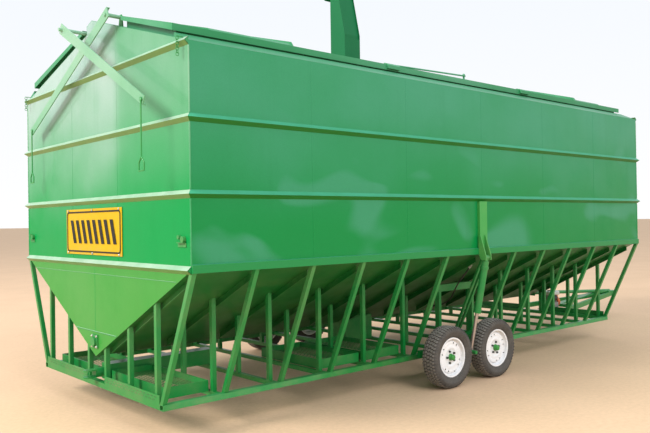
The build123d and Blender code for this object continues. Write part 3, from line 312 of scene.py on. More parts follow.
def enamel(
    name, deep, film, low, high, rough=0.34, wave=0.0, wear=0.0, dust=0.0,
    lean=None, light_shade_facets=None, sheen_blobs=0.0, gloss_film=0.0, specular=0.3,
):
    """Sprayed enamel on steel: deep at the foot, under a pale painted sheen that stands in for the sky's
    reflection and grows from low to high.

    lean fades the painted sheen across y, the facet tones paint a highlight on rib faces that face up and shade
    on those that face down, lighter on the sunlit end walls, and the blob amount adds milky patches of painted
    reflection.
    """
    f = Finish(name, coat=0.05, specular=specular)
    _, y, z = f.split()
    drift = f.sum("MULTIPLY", f.sum("SUBTRACT", f.grain(0.55, 3.0, 0.5), 0.5), 1.5)
    # painted sheen: pale colour standing in for the sky's reflection, stronger higher up and patchy
    painted_sheen = f.span(f.sum("ADD", z, drift), low, high)
    cloud = f.span(f.grain(0.8, 4.0), 0.3, 0.7, 0.62, 1.0)
    painted_sheen = f.sum("MULTIPLY", painted_sheen, cloud)
    if lean:
        edge = f.sum("ADD", y, f.sum("MULTIPLY", drift, 0.12))
        painted_sheen = f.sum("MULTIPLY", painted_sheen, f.span(edge, lean[0], lean[1], lean[2], 1.0))
    # milky patches of painted reflection
    if sheen_blobs > 0:
        patches = f.grain(1.5, 1.5, 0.4, vector=f.stretch((0.7, 1.0, 1.3), (3, 1, 5)), warp=0.5)
        painted_sheen = f.sum("MAXIMUM", painted_sheen, f.span(patches, 0.52, 0.66, 0.0, sheen_blobs))
    if gloss_film > 0:
        f.wire(f.sum("MULTIPLY", painted_sheen, gloss_film), f.shader.inputs["Coat Weight"])
        f.shader.inputs["Coat Roughness"].default_value = 0.07
    # the film colour is the colour of the painted sheen
    base = f.mix(painted_sheen, deep, film)
    runs = f.grain(1.0, 4.0, 0.6, vector=f.stretch((9.0, 9.0, 0.7)))
    base = f.mix(f.span(runs, 0.5, 0.78, 0.0, 0.12), base, tuple(0.75 * c for c in deep))
    speckle = f.span(f.grain(260.0, 2.0), 0.35, 0.65, 0.94, 1.05)
    base = f.mix(1.0, base, f.sum("MULTIPLY", speckle, 1.0), "MULTIPLY")
    # painted highlight on faces that face up and painted shade on faces that face down, with lighter copies on
    # the sunlit end walls
    if light_shade_facets:
        facing = f.tree.nodes.new("ShaderNodeNewGeometry")
        lines = f.tree.nodes.new("ShaderNodeSeparateXYZ")
        f.tree.links.new(facing.outputs["Normal"], lines.inputs[0])
        patchy = f.span(f.grain(5.0, 5.0, 0.6), 0.3, 0.7, 0.75, 1.0)
        # painted highlight on faces that face up
        top = f.sum("MULTIPLY", f.span(lines.outputs["Z"], 0.15, 0.6), patchy)
        sunlit_end_ribs = f.span(f.sum("ABSOLUTE", lines.outputs["X"]), 0.2, 0.4)
        base = f.mix(top, base, f.mix(sunlit_end_ribs, light_shade_facets[0], light_shade_facets[2]))
        # painted shade on faces that face down
        under = f.span(lines.outputs["Z"], -0.15, -0.6, 0.0, 0.85)
        base = f.mix(under, base, f.mix(sunlit_end_ribs, light_shade_facets[1], light_shade_facets[3]))
    settled = f.span(f.grain(3.2, 6.0, 0.65), 0.4, 0.72, 0.0, dust)
    base = f.mix(settled, base, earth)
    if wear > 0:
        scuff = f.span(f.grain(34.0, 8.0, 0.75, warp=0.6), 0.66, 0.7, 0.0, wear)
        base = f.mix(scuff, base, (0.09, 0.1, 0.08))
    gloss = f.span(f.grain(2.4, 5.0), 0.3, 0.75, rough - 0.05, rough + 0.12)
    gloss = f.sum("ADD", gloss, f.sum("MULTIPLY", settled, 0.6))
    peel = f.bump(f.grain(330.0, 2.0), 0.0004, 0.35)
    if wave > 0:
        peel = f.bump(f.grain(1.7, 1.0, 0.4, vector=f.stretch((0.8, 0.8, 1.5))), wave, 1.0, under=peel)
    return f.set(base, gloss, peel)


def worn_steel(name, colour, rust, rough=0.42, metallic=0.85, amount=0.5):
    """Bare steel with patches of rust and fine scratches."""
    f = Finish(name, metallic=metallic)
    patch = f.span(f.grain(14.0, 8.0, 0.7), 0.5, 0.68, 0.0, amount)
    fine = f.grain(1.0, 4.0, 0.5, vector=f.stretch((600.0, 60.0, 600.0)))
    base = f.mix(f.span(fine, 0.3, 0.7, 0.0, 0.25), colour, tuple(0.7 * c for c in colour))
    base = f.mix(patch, base, rust)
    gloss = f.span(f.sum("ADD", patch, f.sum("MULTIPLY", fine, 0.25)), 0.0, 1.0, rough, 0.85)
    f.wire(f.span(patch, 0.0, 1.0, metallic, 0.25), f.shader.inputs["Metallic"])
    return f.set(base, gloss, f.bump(f.grain(190.0, 4.0), 0.0005, 0.5))


def plastic(name, colour, rough=0.45, dust=0.2):
    """Moulded plastic or rubber with a fine grain and settled dust."""
    f = Finish(name, specular=0.4)
    lighter = tuple(min(1.0, 1.35 * c + 0.01) for c in colour)
    tone = f.mix(f.span(f.grain(5.0, 4.0), 0.35, 0.7, 0.0, 0.35), colour, lighter)
    settled = f.span(f.grain(9.0, 6.0, 0.7), 0.42, 0.75, 0.0, dust)
    base = f.mix(settled, tone, earth)
    gloss = f.span(f.grain(40.0, 3.0), 0.3, 0.7, rough - 0.06, rough + 0.14)
    return f.set(base, gloss, f.bump(f.grain(700.0, 2.0), 0.0003, 0.5))


# painted highlight and shade tones for ribs: top and underside on the side walls, then top and underside on the
# sunlit end walls
rib_facets = ((0.055, 0.36, 0.2), (0.012, 0.17, 0.012), (0.36, 0.52, 0.38), (0.16, 0.3, 0.09))
# side walls: the pale film and milky blobs are painted sky reflection over the deep green, growing with height
side_paint = enamel(
    "green_wall_enamel", (0.002, 0.23, 0.05), (0.05, 0.285, 0.155), floor_z + 0.2, eave_z - 0.15,
    wave=0.006, sheen_blobs=0.75, specular=0.22,
)
# end walls: the pale bluish film is painted sky glare, strongest at the top and fading towards the near side
end_paint = enamel(
    "green_end_enamel", (0.003, 0.265, 0.06), (0.33, 0.47, 0.42), floor_z + 0.4, ridge_z - 0.45,
    wave=0.006, lean=(-0.6, -0.38, 0.5), gloss_film=0.9, specular=0.1,
)
# V plates: the yellowish green is painted bounce light from the sandy ground
vee_paint = enamel(
    "green_vee_enamel", (0.025, 0.26, 0.03), (0.055, 0.285, 0.055), apex_z, floor_z, wave=0.003, specular=0.15
)
rib_paint = enamel(
    "green_rib_enamel", (0.012, 0.235, 0.06), (0.05, 0.27, 0.11), floor_z, eave_z, light_shade_facets=rib_facets, wear=0.1
)
roof_paint = enamel(
    "green_roof_enamel", (0.01, 0.2, 0.06), (0.05, 0.26, 0.13), floor_z, eave_z + 0.2, wave=0.004
)
lid_paint = enamel(
    "green_lid_enamel", (0.02, 0.235, 0.08), (0.1, 0.33, 0.19), eave_z - 0.1, ridge_z, wave=0.004, wear=0.1
)
frame_paint = enamel(
    "green_frame_enamel", (0.006, 0.215, 0.04), (0.03, 0.27, 0.07), 0.2, 1.6, dust=0.12, wear=0.35
)
skid_paint = enamel("green_skid_enamel", (0.008, 0.215, 0.04), (0.04, 0.3, 0.09), 0.1, 0.4, dust=0.22, wear=0.5)
# platform mesh: dusty and worn, and darker green as painted shade for the mesh lying in the shade of the bin
lattice_paint = enamel(
    "green_lattice_enamel", (0.012, 0.12, 0.03), (0.03, 0.17, 0.05), 0.1, 0.5, dust=0.35, wear=0.5
)
# hopper: much darker than the walls, painted shade for the underside of the bin
hopper_paint = enamel(
    "green_hopper_enamel", (0.005, 0.12, 0.02), (0.01, 0.17, 0.03), apex_z, floor_z, wave=0.005, dust=0.08
)
lime_paint = enamel(
    "green_fitting_enamel", (0.02, 0.27, 0.04), (0.06, 0.36, 0.08), 0.4, 1.9, dust=0.12, wear=0.25
)
# riser: dark green, painted shade for the riser seen against the bright sky
riser_paint = enamel(
    "green_riser_enamel", (0.003, 0.125, 0.035), (0.005, 0.15, 0.05), 0.4, 4.0, wave=0.003, rough=0.42,
    specular=0.2
)
arm_paint = enamel("green_arm_enamel", (0.04, 0.3, 0.11), (0.26, 0.46, 0.32), 1.8, 3.4, wear=0.12)
steel = worn_steel("worn_steel", (0.5, 0.5, 0.49), (0.2, 0.09, 0.04))
auger_steel = worn_steel("auger_steel", (0.34, 0.33, 0.31), (0.16, 0.075, 0.035), rough=0.5, amount=0.8)
zinc = worn_steel("zinc_plate", (0.62, 0.63, 0.62), (0.45, 0.42, 0.35), rough=0.36, amount=0.2)
rod_steel = worn_steel("ram_rod", (0.55, 0.5, 0.5), (0.4, 0.31, 0.27), rough=0.28, amount=0.35, metallic=0.9)
nut_steel = worn_steel("nut_steel", (0.1, 0.11, 0.1), (0.07, 0.05, 0.035), rough=0.5, amount=0.5)
hose_rubber = plastic("hose_rubber", (0.014, 0.014, 0.015), rough=0.5, dust=0.25)
black_plastic = plastic("black_plastic", (0.016, 0.016, 0.018), rough=0.42, dust=0.15)
sign_black = plastic("sign_black_film", (0.006, 0.005, 0.004), rough=0.6, dust=0.02)
tank_plastic = plastic("tank_plastic", (0.7, 0.7, 0.66), rough=0.35, dust=0.15)
engine_orange = enamel("engine_enamel", (0.55, 0.08, 0.01), (0.68, 0.14, 0.03), 0.3, 0.9, dust=0.2, wear=0.3)
engine_grey = worn_steel(
    "engine_casting", (0.32, 0.32, 0.31), (0.12, 0.1, 0.08), rough=0.55, amount=0.45, metallic=0.7
)


def tyre_finish():
    """Dusty rubber: pale dust lies in the tread, round the shoulders and on the sidewall."""
    f = Finish("tyre_rubber", specular=0.3)
    cloud = f.span(f.grain(7.0, 6.0, 0.65), 0.32, 0.72)
    base = f.mix(cloud, (0.05, 0.047, 0.044), (0.1, 0.092, 0.082))
    fine = f.span(f.grain(120.0, 5.0, 0.7), 0.4, 0.72, 0.0, 0.35)
    base = f.mix(fine, base, (0.23, 0.2, 0.165))
    radius = f.from_axle()
    tread = f.span(radius, 0.306, 0.317, 0.0, 0.75)
    base = f.mix(tread, base, (0.24, 0.225, 0.2))
    # painted shade: a dark ring at the root of the tread blocks
    groove_shade = f.sum("MULTIPLY", f.span(radius, 0.3075, 0.3095), f.span(radius, 0.3115, 0.3095))
    base = f.mix(groove_shade, base, (0.035, 0.032, 0.03))
    return f.set(base, f.span(cloud, 0.0, 1.0, 0.62, 0.85), f.bump(f.grain(420.0, 4.0, 0.7), 0.0006, 0.6))


def wheel_finish():
    """White enamel with road dust and brake film round the hub and in the well of the rim."""
    f = Finish("white_wheel_enamel", coat=0.3)
    radius = f.from_axle()
    cloud = f.span(f.grain(11.0, 6.0, 0.7), 0.38, 0.75)
    base = f.mix(f.sum("MULTIPLY", cloud, 0.3), (0.86, 0.87, 0.89), (0.72, 0.71, 0.69))
    well = f.sum("MULTIPLY", f.span(radius, 0.15, 0.175), f.span(radius, 0.198, 0.18))
    hub = f.span(radius, 0.085, 0.04)
    grime = f.span(f.grain(30.0, 6.0, 0.7), 0.3, 0.75, 0.15, 0.6)
    film = f.sum("MULTIPLY", f.sum("ADD", well, hub), grime)
    base = f.mix(f.sum("MULTIPLY", film, 0.6), base, (0.4, 0.37, 0.33))
    return f.set(base, f.span(cloud, 0.0, 1.0, 0.22, 0.5), f.bump(f.grain(260.0, 3.0), 0.0004, 0.4))


def sign_finish():
    """Retro-reflective yellow sheet: a fine cell pattern, weathering and dust at the foot."""
    f = Finish("sign_yellow_sheet", coat=0.0, specular=0.12)
    cells = f.tree.nodes.new("ShaderNodeTexVoronoi")
    cells.inputs["Scale"].default_value = 320.0
    f.tree.links.new(f.coord, cells.inputs["Vector"])
    tone = f.span(cells.outputs["Distance"], 0.0, 0.6, 0.88, 1.05)
    cloud = f.span(f.grain(4.0, 5.0, 0.6), 0.35, 0.75, 0.0, 0.4)
    base = f.mix(cloud, (0.56, 0.36, 0.003), (0.5, 0.31, 0.005))
    base = f.mix(1.0, base, f.sum("MULTIPLY", tone, 1.0), "MULTIPLY")
    _, _, z = f.split()
    splash = f.span(f.grain(12.0, 6.0), 0.4, 0.7, 0.0, 0.35)
    foot = f.sum("MULTIPLY", f.span(z, sign_low.z + 0.12, sign_low.z), splash)
    base = f.mix(foot, base, earth)
    return f.set(base, f.span(cloud, 0.0, 0.4, 0.3, 0.45), f.bump(cells.outputs["Distance"], 0.0003, 0.4))


def floor_finish():
    """Plain pale ground with a faint grain."""
    f = Finish("pale_floor", specular=0.2)
    cloud = f.span(f.grain(0.8, 5.0, 0.6), 0.3, 0.7)
    base = f.mix(cloud, (0.715, 0.487, 0.313), (0.755, 0.517, 0.335))
    fine = f.span(f.grain(22.0, 6.0, 0.7), 0.3, 0.7, 0.94, 1.04)
    base = f.mix(1.0, base, f.sum("MULTIPLY", fine, 1.0), "MULTIPLY")
    return f.set(base, 0.9, f.bump(f.grain(60.0, 5.0, 0.7), 0.002, 0.4))


rubber = tyre_finish()
white = wheel_finish()
yellow = sign_finish()

# ---- camera ----
yaw, pitch, roll = 0.8493, 0.007, -0.0149
ahead = Vector((math.cos(yaw) * math.cos(pitch), math.sin(yaw) * math.cos(pitch), math.sin(pitch)))
right = Vector((math.sin(yaw), -math.cos(yaw), 0.0))
above = right.cross(ahead)
right_rolled = right * math.cos(roll) + above * math.sin(roll)
above_rolled = above * math.cos(roll) - right * math.sin(roll)
camera_data = bpy.data.cameras.new("camera")
camera_data.lens = 39.6
camera_data.sensor_width = 36.0
camera_data.clip_end = 1500.0
camera = bpy.data.objects.new("camera", camera_data)
bpy.context.scene.collection.objects.link(camera)
turn = Matrix((right_rolled, above_rolled, -ahead)).transposed().to_4x4()
camera.matrix_world = Matrix.Translation((-7.5975, -6.3944, 1.7513)) @ turn
bpy.context.scene.camera = camera

# ---- hydraulic hoses ----
hose_route = [
    (3.7, 1.48, 1.235),
    (3.655, 1.425, 1.13),
    (3.632, 1.355, 1.04),
    (3.64, 1.29, 0.945),
    (3.68, 1.215, 0.86),
    (3.69, 1.13, 0.8),
    (3.668, 1.035, 0.76),
    (3.64, 0.93, 0.745),
]


def ferrule(name, tip, heading):
    """Crimped sleeve and hexagon nut where a hose meets the steel."""
    bm = bmesh.new()
    lathe(
        bm,
        [(0.0, 0.006), (0.0, 0.0125), (0.004, 0.0125), (0.006, 0.0105), (0.008, 0.0125), (0.012, 0.0125),
         (0.014, 0.0105), (0.016, 0.0125), (0.028, 0.0125), (0.034, 0.0095), (0.034, 0.0082)],
        (0, 0, 0),
        axis="Z",
        segments=28,
    )
    hexagon_bolt(bm, (0, 0, -0.003), (0, 0, -1), across=0.024, height=0.012, washer=False)
    spin = Vector((0, 0, 1)).rotation_difference(Vector(heading).normalized()).to_matrix().to_4x4()
    bmesh.ops.transform(bm, matrix=Matrix.Translation(tip) @ spin, verts=bm.verts)
    return place(finish_mesh(bm, name), "bin", zinc)


for side, tag in ((-1, "near"), (1, "far")):
    route = [Vector((rear + x, side * y, z)) for x, y, z in hose_route]
    start_fitting = ferrule("hose_fitting_top_" + tag, route[0], route[1] - route[0])
    end_fitting = ferrule("hose_fitting_foot_" + tag, route[-1], route[-2] - route[-1])
    line = bpy.data.curves.new("hose_" + tag, "CURVE")
    line.dimensions = "3D"
    spline = line.splines.new("NURBS")
    spline.points.add(len(route) - 1)
    for point, where in zip(spline.points, route):
        point.co = (*where, 1.0)
    spline.order_u = 3
    spline.use_endpoint_u = True
    spline.resolution_u = 12
    line.bevel_depth = 0.008
    line.bevel_resolution = 5
    line.use_fill_caps = True
    hose = bpy.data.objects.new("hose_" + tag, line)
    bpy.context.scene.collection.objects.link(hose)
    place(hose, "bin", hose_rubber)
    if side < 0:
        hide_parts("hydraulic_hoses")

# ---- tyres ----
tyre_radius = 0.3215
tread_base = 0.3085


def crown(along):
    """Radius of the tops of the tread blocks at a distance from the middle plane."""
    return tyre_radius - 0.0035 * (abs(along) / 0.066) ** 2


def tread_block(bm, corners, depth_base):
    """Chamfered block of tread over (along, angle) corners."""
    centre_a = sum(a for a, t in corners) / len(corners)
    centre_t = sum(t for a, t in corners) / len(corners)
    rings = []
    for shrink, drop in ((1.06, None), (1.0, 0.0016), (0.9, 0.0)):
        points = []
        for a, t in corners:
            a2 = centre_a + (a - centre_a) * shrink
            t2 = centre_t + (t - centre_t) * shrink
            r = depth_base if drop is None else crown(a) - drop
            points.append((r * math.cos(t2), a2, r * math.sin(t2)))
        rings.append(ring_of(bm, points))
    for first, second in zip(rings, rings[1:]):
        bridge(bm, first, second)
    bm.faces.new(rings[-1])


def shoulder_lug(bm, side, t0, t1, skew):
    """Outer block of the tread, wrapped over the shoulder onto the sidewall."""
    section = [(0.0535, 0.3187), (0.068, 0.3172), (0.0795, 0.3105), (0.0868, 0.298), (0.0898, 0.2885)]
    under = [(0.0535, 0.306), (0.068, 0.306), (0.076, 0.3), (0.082, 0.292), (0.0875, 0.2865)]
    middle = (t0 + t1) / 2
    columns = []
    for index, ((a, r), (ua, ur)) in enumerate(zip(section, under)):
        shift = skew * (index - 2)
        inset = 0.94 - 0.05 * index
        row = []
        for t, scale in ((t0, 1.04), (t0, 1.0), (t0, 0.88), (t1, 0.88), (t1, 1.0), (t1, 1.04)):
            angle = middle + (t - middle) * scale * inset + shift
            if scale > 1.02:
                aa, rr = ua, ur
            elif scale > 0.95:
                aa, rr = a * 0.93 + ua * 0.07, r * 0.88 + ur * 0.12
            else:
                aa, rr = a, r
            row.append(bm.verts.new((rr * math.cos(angle), side * aa, rr * math.sin(angle))))
        columns.append(row)
    for first, second in zip(columns, columns[1:]):
        for i in range(len(first) - 1):
            bm.faces.new((first[i], first[i + 1], second[i + 1], second[i]))
    bm.faces.new(columns[0])
    bm.faces.new(columns[-1])


def tyre_mesh(name):
    """Tyre about a Y axle through the origin."""
    bm = bmesh.new()
    outer = [
        (0.06, 0.193), (0.0605, 0.203), (0.064, 0.207), (0.07, 0.211), (0.0745, 0.216),
        (0.0765, 0.22), (0.079, 0.2205), (0.08, 0.2235), (0.0795, 0.2255), (0.0825, 0.233),
        (0.0865, 0.244), (0.0893, 0.255), (0.0903, 0.257), (0.0912, 0.26), (0.0916, 0.27),
        (0.091, 0.28), (0.0902, 0.2825), (0.089, 0.2845), (0.0868, 0.29), (0.0815, 0.2985),
        (0.074, 0.3045), (0.064, 0.3075), (0.045, tread_base), (0.015, tread_base),
    ]
    inner = [
        (0.05, 0.193), (0.052, 0.21), (0.072, 0.236), (0.08, 0.262), (0.078, 0.28),
        (0.064, 0.295), (0.03, 0.2985),
    ]
    section = [(a, r) for a, r in outer] + [(-a, r) for a, r in reversed(outer)]
    section += [(-a, r) for a, r in inner] + [(a, r) for a, r in reversed(inner)]
    lathe(bm, section, (0, 0, 0), segments=144, closed=True)
    count = 54
    pitch_angle = 2 * math.pi / count
    for i in range(count):
        t = i * pitch_angle
        for row, shift in ((-0.0345, 0.5), (0.0345, 0.0)):
            s = math.copysign(1, row)
            p = pitch_angle
            corners = [
                (row - 0.0105, t + p * (shift + 0.02)),
                (row, t + p * (shift - 0.1)),
                (row + 0.0105, t + p * (shift + 0.06)),
                (row + 0.0105, t + p * (shift + 0.72)),
                (row + 0.003 * s, t + p * (shift + 0.62)),
                (row - 0.0105, t + p * (shift + 0.74)),
            ]
            tread_block(bm, corners, tread_base - 0.001)
        corners = [
            (-0.0155, t + pitch_angle * 0.2),
            (-0.004, t + pitch_angle * 0.08),
            (0.0155, t + pitch_angle * 0.34),
            (0.0155, t + pitch_angle * 0.92),
            (0.004, t + pitch_angle * 0.8),
            (-0.0155, t + pitch_angle * 0.84),
        ]
        tread_block(bm, corners, tread_base - 0.001)
        for side, shift in ((-1, 0.25), (1, 0.75)):
            a = t + pitch_angle * shift
            shoulder_lug(bm, side, a, a + pitch_angle * 0.7, 0.002 * side)
        for side in (-1, 1):
            for k in (0.3, 0.7):
                a = t + pitch_angle * k
                foot = (0.2655 * math.cos(a), side * 0.0914, 0.2655 * math.sin(a))
                head = (0.276 * math.cos(a), side * 0.0911, 0.276 * math.sin(a))
                tube(bm, [foot, head], 0.0011, sides=5)
    return finish_mesh(bm, name, 30.0)


# ---- wheels ----
def wheel_mesh(name):
    """Pressed wheel about a Y axle, its outer face towards +Y, with four pairs of vents."""
    bm = bmesh.new()
    section = [
        (-0.066, 0.19), (-0.0672, 0.196), (-0.0672, 0.204), (-0.065, 0.2056), (-0.0622, 0.204),
        (-0.0606, 0.1985), (-0.057, 0.192), (-0.038, 0.1895), (-0.0345, 0.184), (-0.0325, 0.1735),
        (-0.029, 0.1716), (0.022, 0.1716), (0.0262, 0.1735), (0.03, 0.184), (0.034, 0.1895),
        (0.057, 0.192), (0.0606, 0.1985), (0.0622, 0.204), (0.065, 0.2056), (0.0672, 0.204),
        (0.0672, 0.196), (0.066, 0.19), (0.06, 0.1872), (0.04, 0.1852), (0.035, 0.1815),
        (0.032, 0.172), (0.027, 0.1676), (-0.031, 0.1676), (-0.036, 0.172), (-0.04, 0.1815),
        (-0.044, 0.1852), (-0.06, 0.1872),
    ]
    lathe(bm, section, (0, 0, 0), segments=120, closed=True)
    barrel = finish_mesh(bm, name + "_barrel", 34.0)
    bm = bmesh.new()
    disc = [
        (0.01, 0.1674), (0.029, 0.1674), (0.035, 0.1668), (0.0395, 0.165), (0.0425, 0.161),
        (0.044, 0.155), (0.044, 0.14), (0.0425, 0.133), (0.0425, 0.125), (0.045, 0.113),
        (0.046, 0.1), (0.045, 0.09), (0.0415, 0.083), (0.0385, 0.079), (0.038, 0.074),
        (0.038, 0.036), (0.033, 0.0355), (0.033, 0.076), (0.0345, 0.082), (0.039, 0.089),
        (0.0405, 0.1), (0.0395, 0.112), (0.037, 0.124), (0.037, 0.134), (0.039, 0.141),
        (0.039, 0.153), (0.037, 0.158), (0.033, 0.161), (0.028, 0.1622), (0.011, 0.1624),
    ]
    lathe(bm, disc, (0, 0, 0), segments=120, closed=True)
    wheel = finish_mesh(bm, name + "_disc", 34.0)
    holes = bmesh.new()
    for i in range(4):
        for offset in (-11, 11):
            angle = math.radians(45 + 90 * i + offset)
            centre = (0.147 * math.sin(angle), 0.0, 0.147 * math.cos(angle))
            lathe(holes, [(0.0, 0.0098), (0.07, 0.0098)], centre, segments=24)
    cutter = finish_mesh(holes, name + "_holes")
    wheel = cut(wheel, cutter)
    bm = bmesh.new()
    bm.from_mesh(wheel.data)
    bm.from_mesh(barrel.data)
    bpy.data.objects.remove(wheel)
    bpy.data.objects.remove(barrel)
    return finish_mesh(bm, name, 34.0)


def hub_mesh(name):
    """Hub with its flange and a pressed grease cap."""
    bm = bmesh.new()
    section = [
        (-0.07, 0.021), (-0.07, 0.04), (-0.066, 0.042), (-0.03, 0.042), (-0.026, 0.07),
        (0.018, 0.07), (0.031, 0.069), (0.0328, 0.066), (0.0328, 0.035), (0.04, 0.0345),
        (0.048, 0.034), (0.05, 0.0325), (0.052, 0.0302), (0.0545, 0.0296), (0.072, 0.029),
        (0.079, 0.0272), (0.0832, 0.023), (0.0845, 0.016), (0.0848, 0.008), (0.0849, 0.0015),
    ]
    lathe(bm, section, (0, 0, 0), segments=64)
    return finish_mesh(bm, name, 40.0)


def nuts_mesh(name):
    """Five wheel nuts on their studs, and the valve stem."""
    bm = bmesh.new()
    for i in range(5):
        angle = math.radians(72 * i)
        centre = Vector((0.062 * math.sin(angle), 0.0382, 0.062 * math.cos(angle)))
        lathe(bm, [(0.0, 0.0125), (0.003, 0.0118), (0.0045, 0.0105)], centre, segments=24)
        hexagon_bolt(bm, centre + Vector((0, 0.0045, 0)), (0, 1, 0), across=0.0195, height=0.0125, washer=False)
        lathe(bm, [(0.012, 0.0055), (0.0195, 0.0055), (0.021, 0.0044)], centre, segments=16)
    stem = Vector((0.0, 0.024, -0.158))
    valve = [
        (0.0, 0.0045), (0.016, 0.0045), (0.018, 0.0034), (0.024, 0.0034), (0.026, 0.0044),
        (0.034, 0.0044), (0.035, 0.003),
    ]
    lathe(bm, valve, stem, segments=18)
    return finish_mesh(bm, name)


tyre_shape = tyre_mesh("tread_tyre")
wheel_shape = wheel_mesh("pressed_wheel")
hub_shape = hub_mesh("wheel_hub")
nuts_shape = nuts_mesh("wheel_nuts")
wheel_clock = {"near_rear": 0.3, "near_front": 1.1, "far_rear": 2.0, "far_front": 0.7}
for where in wheel_clock:
    low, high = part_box("tyre_" + where)
    centre = (low + high) / 2
    side = math.copysign(1.0, centre.y)
    facing = Matrix.Rotation(0.0 if side > 0 else math.pi, 4, "Z")
    clock = Matrix.Rotation(wheel_clock[where], 4, "Y")
    body = "wheel_set_" + where
    for shape, kind, material, slot_name, node in (
        (tyre_shape, "tyre_treaded", rubber, "tyre_rubber", "tyre_"),
        (wheel_shape, "wheel_pressed", white, "white_wheel", "wheel_"),
        (hub_shape, "hub", lime_paint, "green_paint", None),
        (nuts_shape, "wheel_nuts", nut_steel, "steel", None),
    ):
        piece = bpy.data.objects.new(kind + "_" + where, shape.data.copy())
        bpy.context.scene.collection.objects.link(piece)
        piece.data.transform(facing @ clock)
        piece.matrix_world = Matrix.Translation(centre)
        place(piece, body, material)
        if node:
            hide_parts(node + where)
for shape in (tyre_shape, wheel_shape, hub_shape, nuts_shape):
    bpy.data.objects.remove(shape)

# ---- seams and welds ----
rib_step = (eave_z - floor_z) / 3
rib_clear = 0.036


def flat_weld(bm, start, end, radius, normal, ripple=0.3, step=0.012, flat=0.4):
    """Flattened bead along a seam of the sheets."""
    tube(bm, [start, end], radius, sides=7, ripple=ripple, step=step, flat=flat, normal=normal)


bm = bmesh.new()
for side in (-1, 1):
    for k in range(1, 6):
        x = rear + 1.2 * k
        for band in range(3):
            z0 = floor_z + band * rib_step + (0.05 if band == 0 else 0.034)
            z1 = floor_z + (band + 1) * rib_step - (0.006 if band == 2 else 0.034)
            if abs(x - rear - 3.6) < 0.1 and band == 0:
                continue
            flat_weld(bm, (x, side * half, z0), (x, side * half, z1), 0.0034, (0, side, 0))
place(finish_mesh(bm, "side_wall_seams"), "bin", side_paint)

# the far roof drops 80 mm in a step 110 mm from the ridge, and slopes less than the near one
near_roof_slope = (ridge_z - eave_z) / half
far_roof_slope = (ridge_z - eave_z - 0.11 * near_roof_slope - 0.08) / (half - 0.11)
bm = bmesh.new()
for x, out in ((rear, -1), (front, 1)):
    for y in (-0.495, 0.495):
        for band in range(3):
            z0 = floor_z + band * rib_step + rib_clear
            z1 = floor_z + (band + 1) * rib_step - rib_clear
            flat_weld(bm, (x, y, z0), (x, y, z1), 0.0055, (out, 0, 0), 0.5, 0.016, 0.5)
        slope = near_roof_slope if y < 0 else far_roof_slope
        top = eave_z + slope * (half - abs(y)) - 0.012
        flat_weld(bm, (x, y, eave_z + rib_clear), (x, y, top), 0.0055, (out, 0, 0), 0.5, 0.016, 0.5)
    seam_z = floor_z - 0.635
    reach = (seam_z - apex_z) / (floor_z - apex_z) * (half - 0.003)
    flat_weld(bm, (x, 0.0, floor_z - rib_clear), (x, 0.0, seam_z + 0.004), 0.003, (out, 0, 0), 0.2, 0.014)
place(finish_mesh(bm, "end_wall_seams"), "bin", end_paint)

bm = bmesh.new()
for x, out in ((rear, -1), (front, 1)):
    seam = [(x, -reach + 0.01, seam_z), (x, reach - 0.01, seam_z)]
    tube(bm, seam, 0.006, sides=8, ripple=0.35, step=0.012, flat=0.6, normal=(out, 0, 0))
    ledge_z = floor_z - 0.1
    wide = (ledge_z - apex_z) / (floor_z - apex_z) * half - 0.03
    flat_weld(bm, (x, -wide, ledge_z), (x, wide, ledge_z), 0.0035, (out, 0, 0), 0.6, 0.011, 0.5)
place(finish_mesh(bm, "vee_welds"), "bin", rib_paint)

bm = bmesh.new()
for x in (rear, front):
    for y in (-half, half):
        for band in range(3):
            z0 = floor_z + band * rib_step + rib_clear
            z1 = floor_z + (band + 1) * rib_step - rib_clear
            tube(bm, [(x, y, z0), (x, y, z1)], 0.006, sides=8, ripple=0.35, step=0.014)
place(finish_mesh(bm, "corner_welds"), "bin", arm_paint)

# ---- sign: border, slanted bars and fixings ----
def flat_bar(bm, corners, x, thickness=0.0006):
    """Thin film on the face of the sign, over (y, z) corners."""
    front_ring = ring_of(bm, [(x - thickness, y, z) for y, z in corners])
    back_ring = ring_of(bm, [(x, y, z) for y, z in corners])
    bridge(bm, back_ring, front_ring)
    bm.faces.new(front_ring)
    bm.faces.new(back_ring)


def rounded(low_y, high_y, low_z, high_z, radius, steps=8):
    points = []
    for cy, cz, start in (
        (high_y - radius, high_z - radius, 0.0),
        (low_y + radius, high_z - radius, 0.5),
        (low_y + radius, low_z + radius, 1.0),
        (high_y - radius, low_z + radius, 1.5),
    ):
        for i in range(steps + 1):
            angle = math.pi * (start + 0.5 * i / steps)
            points.append((cy + radius * math.cos(angle), cz + radius * math.sin(angle)))
    return points


sign_x = sign_low.x
bm = bmesh.new()
outer = rounded(sign_low.y + 0.022, sign_high.y - 0.022, sign_low.z + 0.022, sign_high.z - 0.022, 0.035)
inner = rounded(sign_low.y + 0.036, sign_high.y - 0.036, sign_low.z + 0.036, sign_high.z - 0.036, 0.024)
rings = []
for x, loop in ((sign_x, outer), (sign_x - 0.0006, outer), (sign_x - 0.0006, inner), (sign_x, inner)):
    rings.append(ring_of(bm, [(x, y, z) for y, z in loop]))
for first, second in zip(rings, rings[1:]):
    bridge(bm, first, second)
bridge(bm, rings[-1], rings[0])
bars = 8
foot = sign_low.z + 0.105
head = sign_high.z - 0.105
pitch_y = (sign_high.y - sign_low.y - 0.22) / bars
for i in range(bars):
    y0 = sign_low.y + 0.1 + i * pitch_y
    flat_bar(bm, [(y0, foot), (y0 + 0.062, foot), (y0 + 0.062 + 0.075, head), (y0 + 0.075, head)], sign_x)
place(finish_mesh(bm, "sign_bars"), "bin", sign_black)
bm = bmesh.new()
